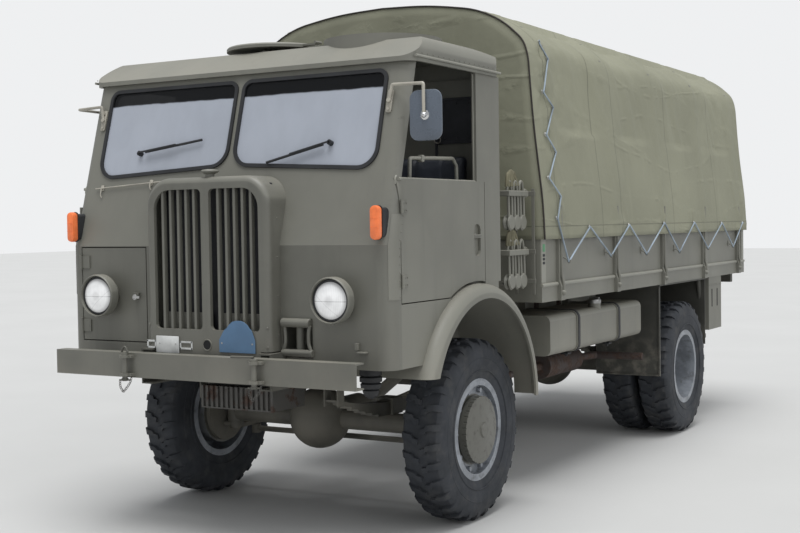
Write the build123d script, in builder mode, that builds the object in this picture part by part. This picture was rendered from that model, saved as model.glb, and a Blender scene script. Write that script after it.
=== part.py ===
"""Four-wheel-drive military cargo truck, cab over the engine, with a covered load bed.

Millimetres, +Z up. The front of the truck faces -Y and its left side is at +X.
The origin is on the ground under the middle of the truck's length.
"""
import os
from math import asin, cos, radians, sin, sqrt, tan

from build123d import *

os.makedirs("parts", exist_ok=True)

# Wheels and axles
WHEELBASE = 3445
FRONT_OVERHANG = 1300  # front axle to the face of the tow clevises
REAR_OVERHANG = 1855  # rear axle to the end of the rear coupling
FRONT_AXLE_Y = FRONT_OVERHANG - (FRONT_OVERHANG + WHEELBASE + REAR_OVERHANG) / 2
REAR_AXLE_Y = FRONT_AXLE_Y + WHEELBASE
TYRE_RADIUS = 515
TYRE_WIDTH = 250
TREAD_DEPTH = 20
LUG_COUNT = 30  # on each shoulder; the two shoulders are half a pitch apart
LUG_GAP = 42
TREAD_RIB = 34  # the closed rib round the middle of the tread
BEAD_RADIUS = 262
BEAD_HALF = 95  # half the width between the rim's flanges
FLANGE = 9
FLANGE_RADIUS = 288
FRONT_HALF_TRACK = 907
TWIN_SPACING = 290
REAR_HALF_TRACK = 860  # to the middle of a twin pair
KINGPIN_X = 700
SPINDLE_RADIUS = 42
RUNNING_CLEARANCE = 0.5
GAP = 6  # round every door, lid and flap

# Chassis frame
RAIL_OUTER_X = 430
RAIL_WIDTH = 75
RAIL_BOTTOM = 840
RAIL_TOP = 1030
RAIL_PLATE = 8
SPRING_X = 430
LEAF_WIDTH = 76
LEAF_THICKNESS = 11
LEAF_COUNT = 7
SPRING_LENGTH = 1240

# Cab
CAB_HALF = 1065
CAB_AHEAD = 1040  # front wall ahead of the front axle
CAB_BEHIND = 200  # rear wall behind the front axle
CAB_FRONT_Y = FRONT_AXLE_Y - CAB_AHEAD
CAB_REAR_Y = FRONT_AXLE_Y + CAB_BEHIND
CAB_BOTTOM = 957
CREASE_Z = 1580
EAVES_Z = 2505
ROOF_TOP = 2655
SLOPE = 15.5  # degrees that the windscreen leans back
CORNER = 80
WALL = 28
DOOR_FRONT = 930  # ahead of the front axle
DOOR_BOTTOM = 1286
DOOR_TOP = 1908
DOOR_CLEARANCE = 14  # above the wheel arch, so that the door swings over its lip
ARCH_CENTRE_Y = FRONT_AXLE_Y - 100
ARCH_CENTRE_Z = 645
ARCH_RADIUS = 700
FENDER_SHEET = 14
FENDER_LIP = 80
FENDER_OUTER_X = CAB_HALF + 70
FENDER_INNER_X = 640

# Load bed
BED_HALF = 1095
BED_FRONT_Y = FRONT_AXLE_Y + 710
BED_REAR_Y = FRONT_AXLE_Y + 5235
SILL_BOTTOM = 1188
DECK_TOP = 1285
BOARD = 26
BOARD_TOP = 1800
POST_Y = [BED_FRONT_Y + y for y in (270, 1255, 2255, 3283, 4299)]
COVER_HEM = 1572
COVER_TOP = 3072
COVER_CLOTH = 8
COVER_HALF = 1128
BOW_TUBE = 32


def write(piece, name):
    """Label a finished piece and write it as one STEP file."""
    piece.part.label = name
    export_step(piece.part, f"parts/{name}.step")


def slope_y(z):
    """Y of the outside of the cab's front wall at height z."""
    return CAB_FRONT_Y + max(0, z - CREASE_Z) * tan(radians(SLOPE))


def rod(start, end, radius):
    """A straight round rod between two points."""
    start = Vector(*start)
    end = Vector(*end)
    with BuildPart() as straight:
        with BuildSketch(Plane(origin=start, z_dir=end - start)):
            Circle(radius)
        extrude(amount=(end - start).length)
    return straight.part


def bent_rod(points, radius):
    """A round rod along straight lines, rounded at its bends."""
    with BuildPart() as bent:
        with BuildLine() as route:
            Polyline(*points)
        with BuildSketch(Plane(origin=points[0], z_dir=points[1] - points[0])):
            Circle(radius)
        sweep(path=route.line, transition=Transition.ROUND)
    return bent.part


def axle_plane(x, y):
    """A sketch plane whose own Y is a radius of a wheel at x, y."""
    return Plane(origin=(x, y, TYRE_RADIUS), x_dir=(1, 0, 0), z_dir=(0, 0, 1))


WINDSCREEN_PLANE = Plane(
    origin=(0, CAB_FRONT_Y, CREASE_Z),
    x_dir=(1, 0, 0),
    z_dir=(0, -cos(radians(SLOPE)), sin(radians(SLOPE))),
)


def up_slope(z):
    """Height z on the cab's front as a distance up the windscreen plane."""
    return (z - CREASE_Z) / cos(radians(SLOPE))


# Wheels: a tyre's half section as (across, radius), from the bead out to the tread
def tyre_section(middle):
    """Draw one tyre's closed section, centred at middle."""
    edge = TYRE_WIDTH / 2 - 13
    shoulder = TYRE_RADIUS - 28
    crown = TYRE_WIDTH / 2 - 35
    Line((middle - BEAD_HALF, BEAD_RADIUS), (middle + BEAD_HALF, BEAD_RADIUS))
    for s in (1, -1):
        Line((middle + s * BEAD_HALF, BEAD_RADIUS), (middle + s * BEAD_HALF, FLANGE_RADIUS + 4))
        ThreePointArc(
            (middle + s * BEAD_HALF, FLANGE_RADIUS + 4),
            (middle + s * TYRE_WIDTH / 2, 385),
            (middle + s * edge, shoulder),
        )
        Line((middle + s * edge, shoulder), (middle + s * crown, TYRE_RADIUS))
    Line((middle - crown, TYRE_RADIUS), (middle + crown, TYRE_RADIUS))


def rim_section(middle):
    """Draw one rim's barrel with a flange at each side, centred at middle."""
    out = BEAD_HALF + FLANGE
    barrel = BEAD_RADIUS - 12
    Polyline(
        (middle - out, barrel),
        (middle + out, barrel),
        (middle + out, FLANGE_RADIUS),
        (middle + BEAD_HALF, FLANGE_RADIUS),
        (middle + BEAD_HALF, BEAD_RADIUS),
        (middle - BEAD_HALF, BEAD_RADIUS),
        (middle - BEAD_HALF, FLANGE_RADIUS),
        (middle - out, FLANGE_RADIUS),
        close=True,
    )


with BuildPart() as tyre_builder:
    with BuildSketch():
        with BuildLine():
            tyre_section(0)
        make_face()
    revolve(axis=Axis.X)
    pitch = 360 / LUG_COUNT
    groove = TYRE_WIDTH / 2 - TREAD_RIB / 2
    spots = [
        Location((0, 0, 0), (pitch * (i + 0.5 + s * 0.25), 0, 0))
        * Location((s * (TREAD_RIB + groove) / 2, 0, TYRE_RADIUS))
        for i in range(LUG_COUNT)
        for s in (1, -1)
    ]
    with Locations(*spots):
        Box(groove, LUG_GAP, 2 * TREAD_DEPTH, mode=Mode.SUBTRACT)
tyre = tyre_builder.part

HUB_CAP_RADIUS = 190
HUB_NOTCHES = 36
DRUM_RADIUS = 200
STUD_RING = 225  # radius of the ring of wheel nuts
STUD_COUNT = 10
for side, s in (("left", 1), ("right", -1)):
    front = axle_plane(s * FRONT_HALF_TRACK, FRONT_AXLE_Y)
    front_axis = Axis(front.origin, (1, 0, 0))
    with BuildPart() as front_tyre:
        with Locations(front.origin):
            add(tyre)
    write(front_tyre, f"tyre_front_{side}")

    with BuildPart() as front_rim:
        with BuildSketch(front):
            with BuildLine():
                rim_section(0)
            make_face()
            with BuildLine():
                Polyline((s * 52, 252), (s * 64, 252), (s * 64, 120), (s * 52, 120), close=True)
            make_face()
            with BuildLine():
                Polyline(
                    (s * -110, SPINDLE_RADIUS + RUNNING_CLEARANCE),
                    (s * -110, DRUM_RADIUS),
                    (s * 10, DRUM_RADIUS),
                    (s * 10, 128),
                    (s * 75, 128),
                    (s * 75, HUB_CAP_RADIUS),
                    (s * 122, HUB_CAP_RADIUS),
                    (s * 126, HUB_CAP_RADIUS - 26),
                    (s * 134, 92),
                    (s * 138, 46),
                    (s * 146, 40),
                    (s * 146, 0),
                    (s * 100, 0),
                    (s * 100, SPINDLE_RADIUS + RUNNING_CLEARANCE),
                    close=True,
                )
            make_face()
        revolve(axis=front_axis)
        with BuildSketch(Plane.YZ.offset(s * (FRONT_HALF_TRACK + 98))):
            with Locations((FRONT_AXLE_Y, TYRE_RADIUS)):
                with PolarLocations(HUB_CAP_RADIUS + 2, HUB_NOTCHES):
                    Circle(6)
        extrude(amount=s * 40, mode=Mode.SUBTRACT)
        with BuildSketch(Plane.YZ.offset(s * (FRONT_HALF_TRACK + 62))):
            with Locations((FRONT_AXLE_Y, TYRE_RADIUS)):
                with PolarLocations(STUD_RING, STUD_COUNT):
                    RegularPolygon(15, 6)
        extrude(amount=s * 24)
    write(front_rim, f"rim_front_{side}")

    rear = axle_plane(s * REAR_HALF_TRACK, REAR_AXLE_Y)
    rear_axis = Axis(rear.origin, (1, 0, 0))
    with BuildPart() as rear_tyres:
        for middle in (-TWIN_SPACING / 2, TWIN_SPACING / 2):
            with Locations(rear.origin + Vector(middle, 0, 0)):
                add(tyre)
    write(rear_tyres, f"tyres_rear_{side}")

    with BuildPart() as rear_rims:
        inner_edge = TWIN_SPACING / 2 - BEAD_HALF - FLANGE
        with BuildSketch(rear):
            for middle in (-TWIN_SPACING / 2, TWIN_SPACING / 2):
                with BuildLine():
                    rim_section(middle)
                make_face()
            with BuildLine():
                Polyline(
                    (-inner_edge - 12, 251),
                    (-inner_edge - 12, 240),
                    (-12, 225),
                    (-12, 128),
                    (12, 128),
                    (12, 225),
                    (inner_edge + 12, 240),
                    (inner_edge + 12, 251),
                    close=True,
                )
            make_face()
            with BuildLine():
                Polyline(
                    (s * -225, SPINDLE_RADIUS + RUNNING_CLEARANCE),
                    (s * -225, DRUM_RADIUS + 15),
                    (s * -45, DRUM_RADIUS + 15),
                    (s * -45, 128),
                    (s * 40, 128),
                    (s * 48, 120),
                    (s * 48, 85),
                    (s * 95, 78),
                    (s * 95, 0),
                    (s * 60, 0),
                    (s * 60, SPINDLE_RADIUS + RUNNING_CLEARANCE),
                    close=True,
                )
            make_face()
        revolve(axis=rear_axis)
        with BuildSketch(Plane.YZ.offset(s * (REAR_HALF_TRACK + 10))):
            with Locations((REAR_AXLE_Y, TYRE_RADIUS)):
                with PolarLocations(STUD_RING - 55, STUD_COUNT):
                    RegularPolygon(16, 6)
        extrude(amount=s * 32)
    write(rear_rims, f"rims_rear_{side}")

# Front axle, steering knuckles and tie rod
KINGPIN_RADIUS = 22
YOKE_HALF = 62  # half height of the axle's kingpin boss
EAR = 26
ARM_Y = FRONT_AXLE_Y + 210  # tie rod behind the axle
ARM_Z = TYRE_RADIUS - 105
ARM_X = KINGPIN_X  # parallel arms, so both front wheels turn by the same angle
with BuildPart() as front_axle:
    with BuildSketch(Plane.YZ.offset(-KINGPIN_X + 30)):
        with Locations((FRONT_AXLE_Y, TYRE_RADIUS)):
            Circle(58)
    extrude(amount=2 * (KINGPIN_X - 30))
    for s in (1, -1):
        with Locations((s * KINGPIN_X, FRONT_AXLE_Y, TYRE_RADIUS)):
            Cylinder(52, 2 * YOKE_HALF)
            Hole(KINGPIN_RADIUS + RUNNING_CLEARANCE)
    with Locations((-60, FRONT_AXLE_Y, TYRE_RADIUS)):
        Sphere(185)
    with Locations((-60, FRONT_AXLE_Y, TYRE_RADIUS)):
        Cylinder(95, 440, rotation=(90, 0, 0), align=(Align.CENTER, Align.CENTER, Align.MAX))
    split(bisect_by=Plane.XZ.offset(-FRONT_AXLE_Y - 470), keep=Keep.BOTTOM)
write(front_axle, "front_axle")

for side, s in (("left", 1), ("right", -1)):
    with BuildPart() as knuckle:
        with Locations((s * KINGPIN_X, FRONT_AXLE_Y, TYRE_RADIUS)):
            Cylinder(KINGPIN_RADIUS, 2 * (YOKE_HALF + 2 + EAR))
        for up in (1, -1):
            with BuildSketch(Plane.XY.offset(TYRE_RADIUS + up * (YOKE_HALF + 2 + EAR / 2))):
                with Locations((s * KINGPIN_X, FRONT_AXLE_Y)):
                    Circle(48)
                with Locations((s * (KINGPIN_X + 45), FRONT_AXLE_Y)):
                    Rectangle(90, 90)
            extrude(amount=EAR / 2, both=True)
        with BuildSketch(Plane.YZ.offset(s * (KINGPIN_X + 66))):
            with Locations((FRONT_AXLE_Y, TYRE_RADIUS)):
                Circle(185)
        extrude(amount=s * 24)
        with BuildSketch(Plane.YZ.offset(s * (KINGPIN_X + 80))):
            with Locations((FRONT_AXLE_Y, TYRE_RADIUS)):
                Circle(SPINDLE_RADIUS)
        extrude(amount=s * (FRONT_HALF_TRACK + 92 - KINGPIN_X - 80))
        with BuildSketch(Plane.XY.offset(ARM_Z)):
            with BuildLine():
                Polyline(
                    (s * (KINGPIN_X - 30), FRONT_AXLE_Y + 20),
                    (s * (KINGPIN_X + 30), FRONT_AXLE_Y + 20),
                    (s * (ARM_X + 24), ARM_Y + 26),
                    (s * (ARM_X - 24), ARM_Y + 26),
                    close=True,
                )
            make_face()
            with Locations((s * KINGPIN_X, FRONT_AXLE_Y)):
                Circle(40)
        extrude(amount=24)
        with Locations((s * KINGPIN_X, FRONT_AXLE_Y, ARM_Z)):
            Cylinder(30, 20, align=(Align.CENTER, Align.CENTER, Align.MIN))
    write(knuckle, f"knuckle_{side}")

with BuildPart() as tie_rod:
    with BuildSketch(Plane.YZ.offset(-ARM_X)):
        with Locations((ARM_Y, ARM_Z - 34)):
            Circle(17)
    extrude(amount=2 * ARM_X)
    for s in (1, -1):
        with Locations((s * ARM_X, ARM_Y, ARM_Z - 34)):
            Cylinder(30, 56)
write(tie_rod, "tie_rod")

with BuildPart() as rear_axle:
    with BuildSketch(Plane.YZ.offset(-REAR_HALF_TRACK - 56)):
        with Locations((REAR_AXLE_Y, TYRE_RADIUS)):
            Circle(SPINDLE_RADIUS)
    extrude(amount=2 * (REAR_HALF_TRACK + 56))
    with BuildSketch(Plane.YZ.offset(-REAR_HALF_TRACK + 240)):
        with Locations((REAR_AXLE_Y, TYRE_RADIUS)):
            Circle(66)
    extrude(amount=2 * (REAR_HALF_TRACK - 240))
    for s in (1, -1):
        with BuildSketch(Plane.YZ.offset(s * (REAR_HALF_TRACK - 232))):
            with Locations((REAR_AXLE_Y, TYRE_RADIUS)):
                Circle(185)
        extrude(amount=s * -16)
    with Locations((-60, REAR_AXLE_Y, TYRE_RADIUS)):
        Sphere(205)
        Cylinder(95, 260, rotation=(90, 0, 0), align=(Align.CENTER, Align.CENTER, Align.MIN))
write(rear_axle, "rear_axle")

# Leaf springs: each leaf is a strip cut from a shallow ring, shorter towards the axle
def spring_pack(axle_y, seat_z):
    """Both leaf springs of one axle, resting on its tube at seat_z."""
    bow = 2600
    with BuildPart() as packs:
        for s in (1, -1):
            with BuildSketch(Plane.YZ.offset(s * SPRING_X - LEAF_WIDTH / 2)):
                for leaf in range(LEAF_COUNT):
                    half = SPRING_LENGTH / 2 * (1 - 0.115 * (LEAF_COUNT - 1 - leaf))
                    low = bow - leaf * LEAF_THICKNESS
                    drop = low - sqrt(low**2 - half**2)
                    top = low - LEAF_THICKNESS
                    rise = top - sqrt(top**2 - half**2)
                    base = seat_z + leaf * LEAF_THICKNESS
                    with BuildLine():
                        ThreePointArc(
                            (axle_y - half, base + drop),
                            (axle_y, base),
                            (axle_y + half, base + drop),
                        )
                        Line((axle_y + half, base + drop), (axle_y + half, base + 11 + rise))
                        ThreePointArc(
                            (axle_y + half, base + 11 + rise),
                            (axle_y, base + 11),
                            (axle_y - half, base + 11 + rise),
                        )
                        Line((axle_y - half, base + 11 + rise), (axle_y - half, base + drop))
                    make_face()
            extrude(amount=LEAF_WIDTH)
            with Locations((s * SPRING_X, axle_y, seat_z)):
                Box(LEAF_WIDTH + 34, 110, 96, align=(Align.CENTER, Align.CENTER, Align.MIN))
    return packs.part


with BuildPart() as leaf_springs:
    add(spring_pack(FRONT_AXLE_Y, TYRE_RADIUS + 58))
    add(spring_pack(REAR_AXLE_Y, TYRE_RADIUS + 66))
write(leaf_springs, "leaf_springs")

# Frame: two channel rails with hangers for the springs, and crossmembers
CROSS_Y = [FRONT_AXLE_Y + y for y in (-930, 1480, 2100, 2830, 4060, 5120)]
COUPLING_PIN = 20
COUPLING_Y = REAR_AXLE_Y + REAR_OVERHANG - 45
COUPLING_Z = 930
CAB_FLOOR_Z = 1362
FLOOR_SHEET = 16
FRAME_FRONT_Y = FRONT_AXLE_Y - 1170
FRAME_REAR_Y = FRONT_AXLE_Y + 5180
with BuildPart() as frame:
    for s in (1, -1):
        with BuildSketch(Plane.XZ.offset(-FRAME_FRONT_Y)):
            with BuildLine():
                Polyline(
                    (s * RAIL_OUTER_X, RAIL_BOTTOM),
                    (s * RAIL_OUTER_X, RAIL_TOP),
                    (s * (RAIL_OUTER_X - RAIL_WIDTH), RAIL_TOP),
                    (s * (RAIL_OUTER_X - RAIL_WIDTH), RAIL_TOP - RAIL_PLATE),
                    (s * (RAIL_OUTER_X - RAIL_PLATE), RAIL_TOP - RAIL_PLATE),
                    (s * (RAIL_OUTER_X - RAIL_PLATE), RAIL_BOTTOM + RAIL_PLATE),
                    (s * (RAIL_OUTER_X - RAIL_WIDTH), RAIL_BOTTOM + RAIL_PLATE),
                    (s * (RAIL_OUTER_X - RAIL_WIDTH), RAIL_BOTTOM),
                    close=True,
                )
            make_face()
        extrude(amount=-(FRAME_REAR_Y - FRAME_FRONT_Y))
    for y in CROSS_Y:
        with Locations((0, y, (RAIL_BOTTOM + RAIL_TOP) / 2)):
            Box(2 * (RAIL_OUTER_X - RAIL_PLATE), 50, 100)
    for axle_y in (FRONT_AXLE_Y, REAR_AXLE_Y):
        for s in (1, -1):
            for end in (1, -1):
                hanger_y = axle_y + end * (SPRING_LENGTH / 2 - 25)
                with Locations((s * SPRING_X, hanger_y, RAIL_BOTTOM)):
                    Box(LEAF_WIDTH + 20, 60, 12, align=(Align.CENTER, Align.CENTER, Align.MAX))
                for cheek in (1, -1):
                    x = s * SPRING_X + cheek * (LEAF_WIDTH / 2 + 5)
                    with Locations((x, hanger_y, RAIL_BOTTOM)):
                        Box(10, 60, 150, align=(Align.CENTER, Align.CENTER, Align.MAX))
    for s in (1, -1):
        with Locations((s * (RAIL_OUTER_X - RAIL_WIDTH / 2), FRONT_AXLE_Y + 90, RAIL_TOP)):
            Box(RAIL_WIDTH, 90, CAB_FLOOR_Z - FLOOR_SHEET - RAIL_TOP,
                align=(Align.CENTER, Align.CENTER, Align.MIN))
    with Locations((0, FRONT_AXLE_Y + 5145, COUPLING_Z)):
        Box(200, 90, 150)
    for z in (-1, 1):
        with BuildSketch(Plane.XY.offset(COUPLING_Z + z * 34 - 9)):
            with Locations((0, COUPLING_Y - 50)):
                Rectangle(90, 100)
            with Locations((0, COUPLING_Y)):
                Circle(45)
            with Locations((0, COUPLING_Y)):
                Circle(COUPLING_PIN, mode=Mode.SUBTRACT)
        extrude(amount=18)
write(frame, "frame")

# Bumper: a channel bent round its ends, with two clevises and their tow pins
BUMPER_HALF = 984
BUMPER_FRONT_Y = FRONT_AXLE_Y - 1243
BUMPER_BOTTOM = 880
BUMPER_TOP = 1012
BUMPER_DEPTH = 73
BUMPER_PLATE = 8
CLEVIS_X = (-457, 400)
CLEVIS_HALF = 45
CLEVIS_PLATE = 14
TOW_PIN_RADIUS = 14
CLEVIS_EYE = 27
TOW_PIN_Y = FRONT_AXLE_Y - FRONT_OVERHANG + CLEVIS_EYE
with BuildPart() as bumper:
    with BuildSketch(Plane.YZ.offset(-BUMPER_HALF)):
        with BuildLine():
            Polyline(
                (BUMPER_FRONT_Y, BUMPER_BOTTOM),
                (BUMPER_FRONT_Y, BUMPER_TOP),
                (BUMPER_FRONT_Y + BUMPER_DEPTH, BUMPER_TOP),
                (BUMPER_FRONT_Y + BUMPER_DEPTH, BUMPER_TOP - BUMPER_PLATE),
                (BUMPER_FRONT_Y + BUMPER_PLATE, BUMPER_TOP - BUMPER_PLATE),
                (BUMPER_FRONT_Y + BUMPER_PLATE, BUMPER_BOTTOM + BUMPER_PLATE),
                (BUMPER_FRONT_Y + BUMPER_DEPTH, BUMPER_BOTTOM + BUMPER_PLATE),
                (BUMPER_FRONT_Y + BUMPER_DEPTH, BUMPER_BOTTOM),
                close=True,
            )
        make_face()
    extrude(amount=2 * BUMPER_HALF)
    for x in CLEVIS_X:
        for z in (BUMPER_BOTTOM + 10, BUMPER_TOP - 10 - CLEVIS_PLATE):
            with BuildSketch(Plane.XY.offset(z)):
                with Locations((x, BUMPER_FRONT_Y - 15)):
                    Rectangle(2 * CLEVIS_HALF, 30)
                with Locations((x, TOW_PIN_Y)):
                    Circle(CLEVIS_EYE)
                with Locations((x, TOW_PIN_Y)):
                    Circle(TOW_PIN_RADIUS, mode=Mode.SUBTRACT)
            extrude(amount=CLEVIS_PLATE)
    for x in CLEVIS_X:
        with Locations((x, TOW_PIN_Y, BUMPER_BOTTOM - 16)):
            Cylinder(TOW_PIN_RADIUS, BUMPER_TOP - BUMPER_BOTTOM + 16,
                     align=(Align.CENTER, Align.CENTER, Align.MIN))
        with Locations((x, TOW_PIN_Y, BUMPER_TOP - 10)):
            Cylinder(20, 14, align=(Align.CENTER, Align.CENTER, Align.MIN))
write(bumper, "bumper")

# Engine as one plain block between the rails, with the finned sump below it
ENGINE_HALF = 290
ENGINE_BOTTOM = 800
ENGINE_TOP = 1560
SUMP_WIDTH = 490
SUMP_BOTTOM = 676
with BuildPart() as engine:
    with Locations((0, FRONT_AXLE_Y - 780, ENGINE_BOTTOM)):
        Box(2 * ENGINE_HALF, 900, ENGINE_TOP - ENGINE_BOTTOM,
            align=(Align.CENTER, Align.MIN, Align.MIN))
    with Locations((-40, FRONT_AXLE_Y - 700, SUMP_BOTTOM)):
        Box(SUMP_WIDTH, 300, ENGINE_BOTTOM - SUMP_BOTTOM, align=(Align.CENTER, Align.CENTER, Align.MIN))
    with Locations((-40, FRONT_AXLE_Y - 850, SUMP_BOTTOM + 8)):
        with GridLocations(34, 1, 14, 1):
            Box(18, 24, ENGINE_BOTTOM - SUMP_BOTTOM, align=(Align.CENTER, Align.CENTER, Align.MIN),
                mode=Mode.SUBTRACT)
    with Locations((0, FRONT_AXLE_Y - 900, 1070)):
        Box(620, 60, 740, align=(Align.CENTER, Align.CENTER, Align.MIN))
write(engine, "engine_block")

# Gearbox behind the engine, transfer case under the cab's rear and the propeller shafts
SHAFT_X = -60
with BuildPart() as drivetrain:
    with Locations((0, FRONT_AXLE_Y + 220, 860)):
        Box(340, 420, 300, align=(Align.CENTER, Align.MIN, Align.MIN))
    with Locations((0, FRONT_AXLE_Y + 980, 600)):
        Box(360, 380, 340, align=(Align.CENTER, Align.MIN, Align.MIN))
    add(rod((0, FRONT_AXLE_Y + 130, 910), (0, FRONT_AXLE_Y + 220, 910), 110))
    add(rod((0, FRONT_AXLE_Y + 640, 900), (0, FRONT_AXLE_Y + 980, 900), 38))
    add(rod((SHAFT_X, FRONT_AXLE_Y + 482, TYRE_RADIUS), (SHAFT_X, FRONT_AXLE_Y + 990, 680), 38))
    add(rod((SHAFT_X, FRONT_AXLE_Y + 1350, 700), (SHAFT_X, REAR_AXLE_Y - 276, TYRE_RADIUS + 20), 38))
write(drivetrain, "drivetrain")


# Cab shell: a plan outline at each height, with rounded front corners
def cab_plan(z, inset):
    """Plan outline of the cab at height z, moved in by inset."""
    front = slope_y(z) + inset
    rear = CAB_REAR_Y - inset
    with BuildSketch(Plane.XY.offset(z)) as plan:
        with Locations((0, (front + rear) / 2)):
            Rectangle(2 * (CAB_HALF - inset), rear - front)
        fillet(plan.vertices().group_by(Axis.Y)[0], CORNER - inset)
    return plan.sketch


def cab_block(inset, bottom):
    """The cab's outside (inset 0) or inside as one block, from bottom to the eaves."""
    with BuildPart() as block:
        add(cab_plan(bottom, inset))
        extrude(amount=CREASE_Z - bottom)
        loft([cab_plan(CREASE_Z, inset).face(), cab_plan(EAVES_Z, inset).face()], ruled=True)
    return block.part


with BuildPart() as shell_builder:
    add(cab_block(0, CAB_BOTTOM))
    add(cab_block(WALL, CAB_BOTTOM), mode=Mode.SUBTRACT)
cab_shell = shell_builder.part


A_PILLAR_Y = FRONT_AXLE_Y - DOOR_FRONT - GAP
B_PILLAR_Y = FRONT_AXLE_Y
PILLAR_X = CAB_HALF - 45  # the side openings start here, on the rounded front corner
PILLAR_WIDTH = 46
GRILLE_HALF = 405
GRILLE_BOTTOM = 1000
GRILLE_TOP = 1943
GRILLE_AHEAD = 1143
GRILLE_ROUND = 150
GRILLE_EDGE = 36
FIREWALL_AHEAD = 866
HATCH_LEFT_X = -500
HATCH_RIGHT_X = -(CAB_HALF - 95)
HATCH_BOTTOM = 1052
HATCH_TOP = CREASE_Z - 10
HATCH_PIN = 8
LAMP_X = CAB_HALF - 292
LAMP_Z = 1307
STEP_X = (415, 600)
STEP_Z = (1003, 1205)
PANE_INNER = 14
PANE_OUTER = CAB_HALF - 130
PANE_TOP = EAVES_Z - 32
PANE_CORNERS = ((PANE_INNER, 2000), (PANE_OUTER, 1952), (PANE_OUTER, PANE_TOP), (PANE_INNER, PANE_TOP))
PANE_ROUND = 60
PANE_LOW_ROUND = 115
SEAL = 20


def pane_outline(s, inset):
    """One windscreen pane's outline on the sloping front, moved in by inset."""
    with BuildSketch(WINDSCREEN_PLANE) as pane:
        with BuildLine():
            Polyline(*[(s * x, up_slope(z)) for x, z in PANE_CORNERS], close=True)
        make_face()
        fillet(pane.vertices().sort_by(Axis.Y)[:2], PANE_LOW_ROUND)
        fillet(pane.vertices().sort_by(Axis.Y)[-2:], PANE_ROUND)
        if inset:
            offset(amount=-inset, mode=Mode.REPLACE)
    return pane.sketch


def grille_outline(ahead):
    """Front outline of the radiator housing, with its rounded shoulders, ahead of the axle."""
    with BuildSketch(Plane.XZ.offset(-(FRONT_AXLE_Y - ahead))) as outline:
        with Locations((0, (GRILLE_BOTTOM + GRILLE_TOP) / 2)):
            Rectangle(2 * GRILLE_HALF, GRILLE_TOP - GRILLE_BOTTOM)
        fillet(outline.vertices().group_by(Axis.Y)[-1], GRILLE_ROUND)
    return outline.sketch


with BuildPart() as cab_front:
    add(cab_shell)
    with Locations((0, FRONT_AXLE_Y - 600, 0)):
        Box(4 * CAB_HALF, 2000, 3 * EAVES_Z, align=(Align.CENTER, Align.MIN, Align.CENTER),
            mode=Mode.SUBTRACT)
    for s in (1, -1):
        with BuildSketch(Plane.YZ.offset(s * (PILLAR_X - GAP))):
            with BuildLine():
                Polyline((A_PILLAR_Y, 0), (A_PILLAR_Y, DOOR_TOP),
                         (slope_y(DOOR_TOP) + PILLAR_WIDTH, DOOR_TOP + GAP),
                         (slope_y(EAVES_Z) + PILLAR_WIDTH, EAVES_Z + 1),
                         (FRONT_AXLE_Y, EAVES_Z + 1), (FRONT_AXLE_Y, 0), close=True)
            make_face()
        extrude(amount=s * 200, mode=Mode.SUBTRACT)
    for s in (1, -1):
        extrude(pane_outline(s, 0), amount=80, dir=WINDSCREEN_PLANE.z_dir, both=True,
                mode=Mode.SUBTRACT)
    extrude(grille_outline(GRILLE_AHEAD), amount=GRILLE_AHEAD - FIREWALL_AHEAD, dir=(0, 1, 0),
            mode=Mode.SUBTRACT)
    with BuildSketch(Plane.XZ.offset(-(CAB_FRONT_Y - 60))):
        with Locations(((HATCH_LEFT_X + HATCH_RIGHT_X) / 2, (HATCH_TOP + HATCH_BOTTOM) / 2)):
            Rectangle(HATCH_LEFT_X - HATCH_RIGHT_X + 2 * GAP, HATCH_TOP - HATCH_BOTTOM + 2 * GAP)
        with Locations((sum(STEP_X) / 2, sum(STEP_Z) / 2)):
            Rectangle(STEP_X[1] - STEP_X[0], STEP_Z[1] - STEP_Z[0])
    extrude(amount=-260, mode=Mode.SUBTRACT)
    with Locations((0, CAB_FRONT_Y, CAB_BOTTOM)):
        Box(2 * (RAIL_OUTER_X + GAP), 200, RAIL_TOP + GAP - CAB_BOTTOM,
            align=(Align.CENTER, Align.CENTER, Align.MIN), mode=Mode.SUBTRACT)
write(cab_front, "cab_front")

# Front hatch: the same wall's skin between the gaps, hung at its outer edge, with a latch
with BuildPart() as hatch:
    add(cab_shell)
    with BuildSketch(Plane.XZ.offset(-(CAB_FRONT_Y - 60))):
        with Locations(((HATCH_LEFT_X + HATCH_RIGHT_X) / 2, (HATCH_TOP + HATCH_BOTTOM) / 2)):
            Rectangle(HATCH_LEFT_X - HATCH_RIGHT_X, HATCH_TOP - HATCH_BOTTOM)
    extrude(amount=-260, mode=Mode.INTERSECT)
    with Locations((HATCH_LEFT_X - 65, CAB_FRONT_Y - 8, (HATCH_TOP + HATCH_BOTTOM) / 2)):
        Box(40, 16, 22)
    for z in (HATCH_BOTTOM + 80, HATCH_TOP - 80):
        with Locations((HATCH_RIGHT_X - GAP / 2, CAB_FRONT_Y - HATCH_PIN - 2, z)):
            Cylinder(HATCH_PIN, 84)
        with Locations((HATCH_RIGHT_X - GAP / 2, CAB_FRONT_Y - 4, z)):
            Box(62, 8, 70, align=(Align.MIN, Align.CENTER, Align.CENTER))
write(hatch, "front_hatch")

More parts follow.
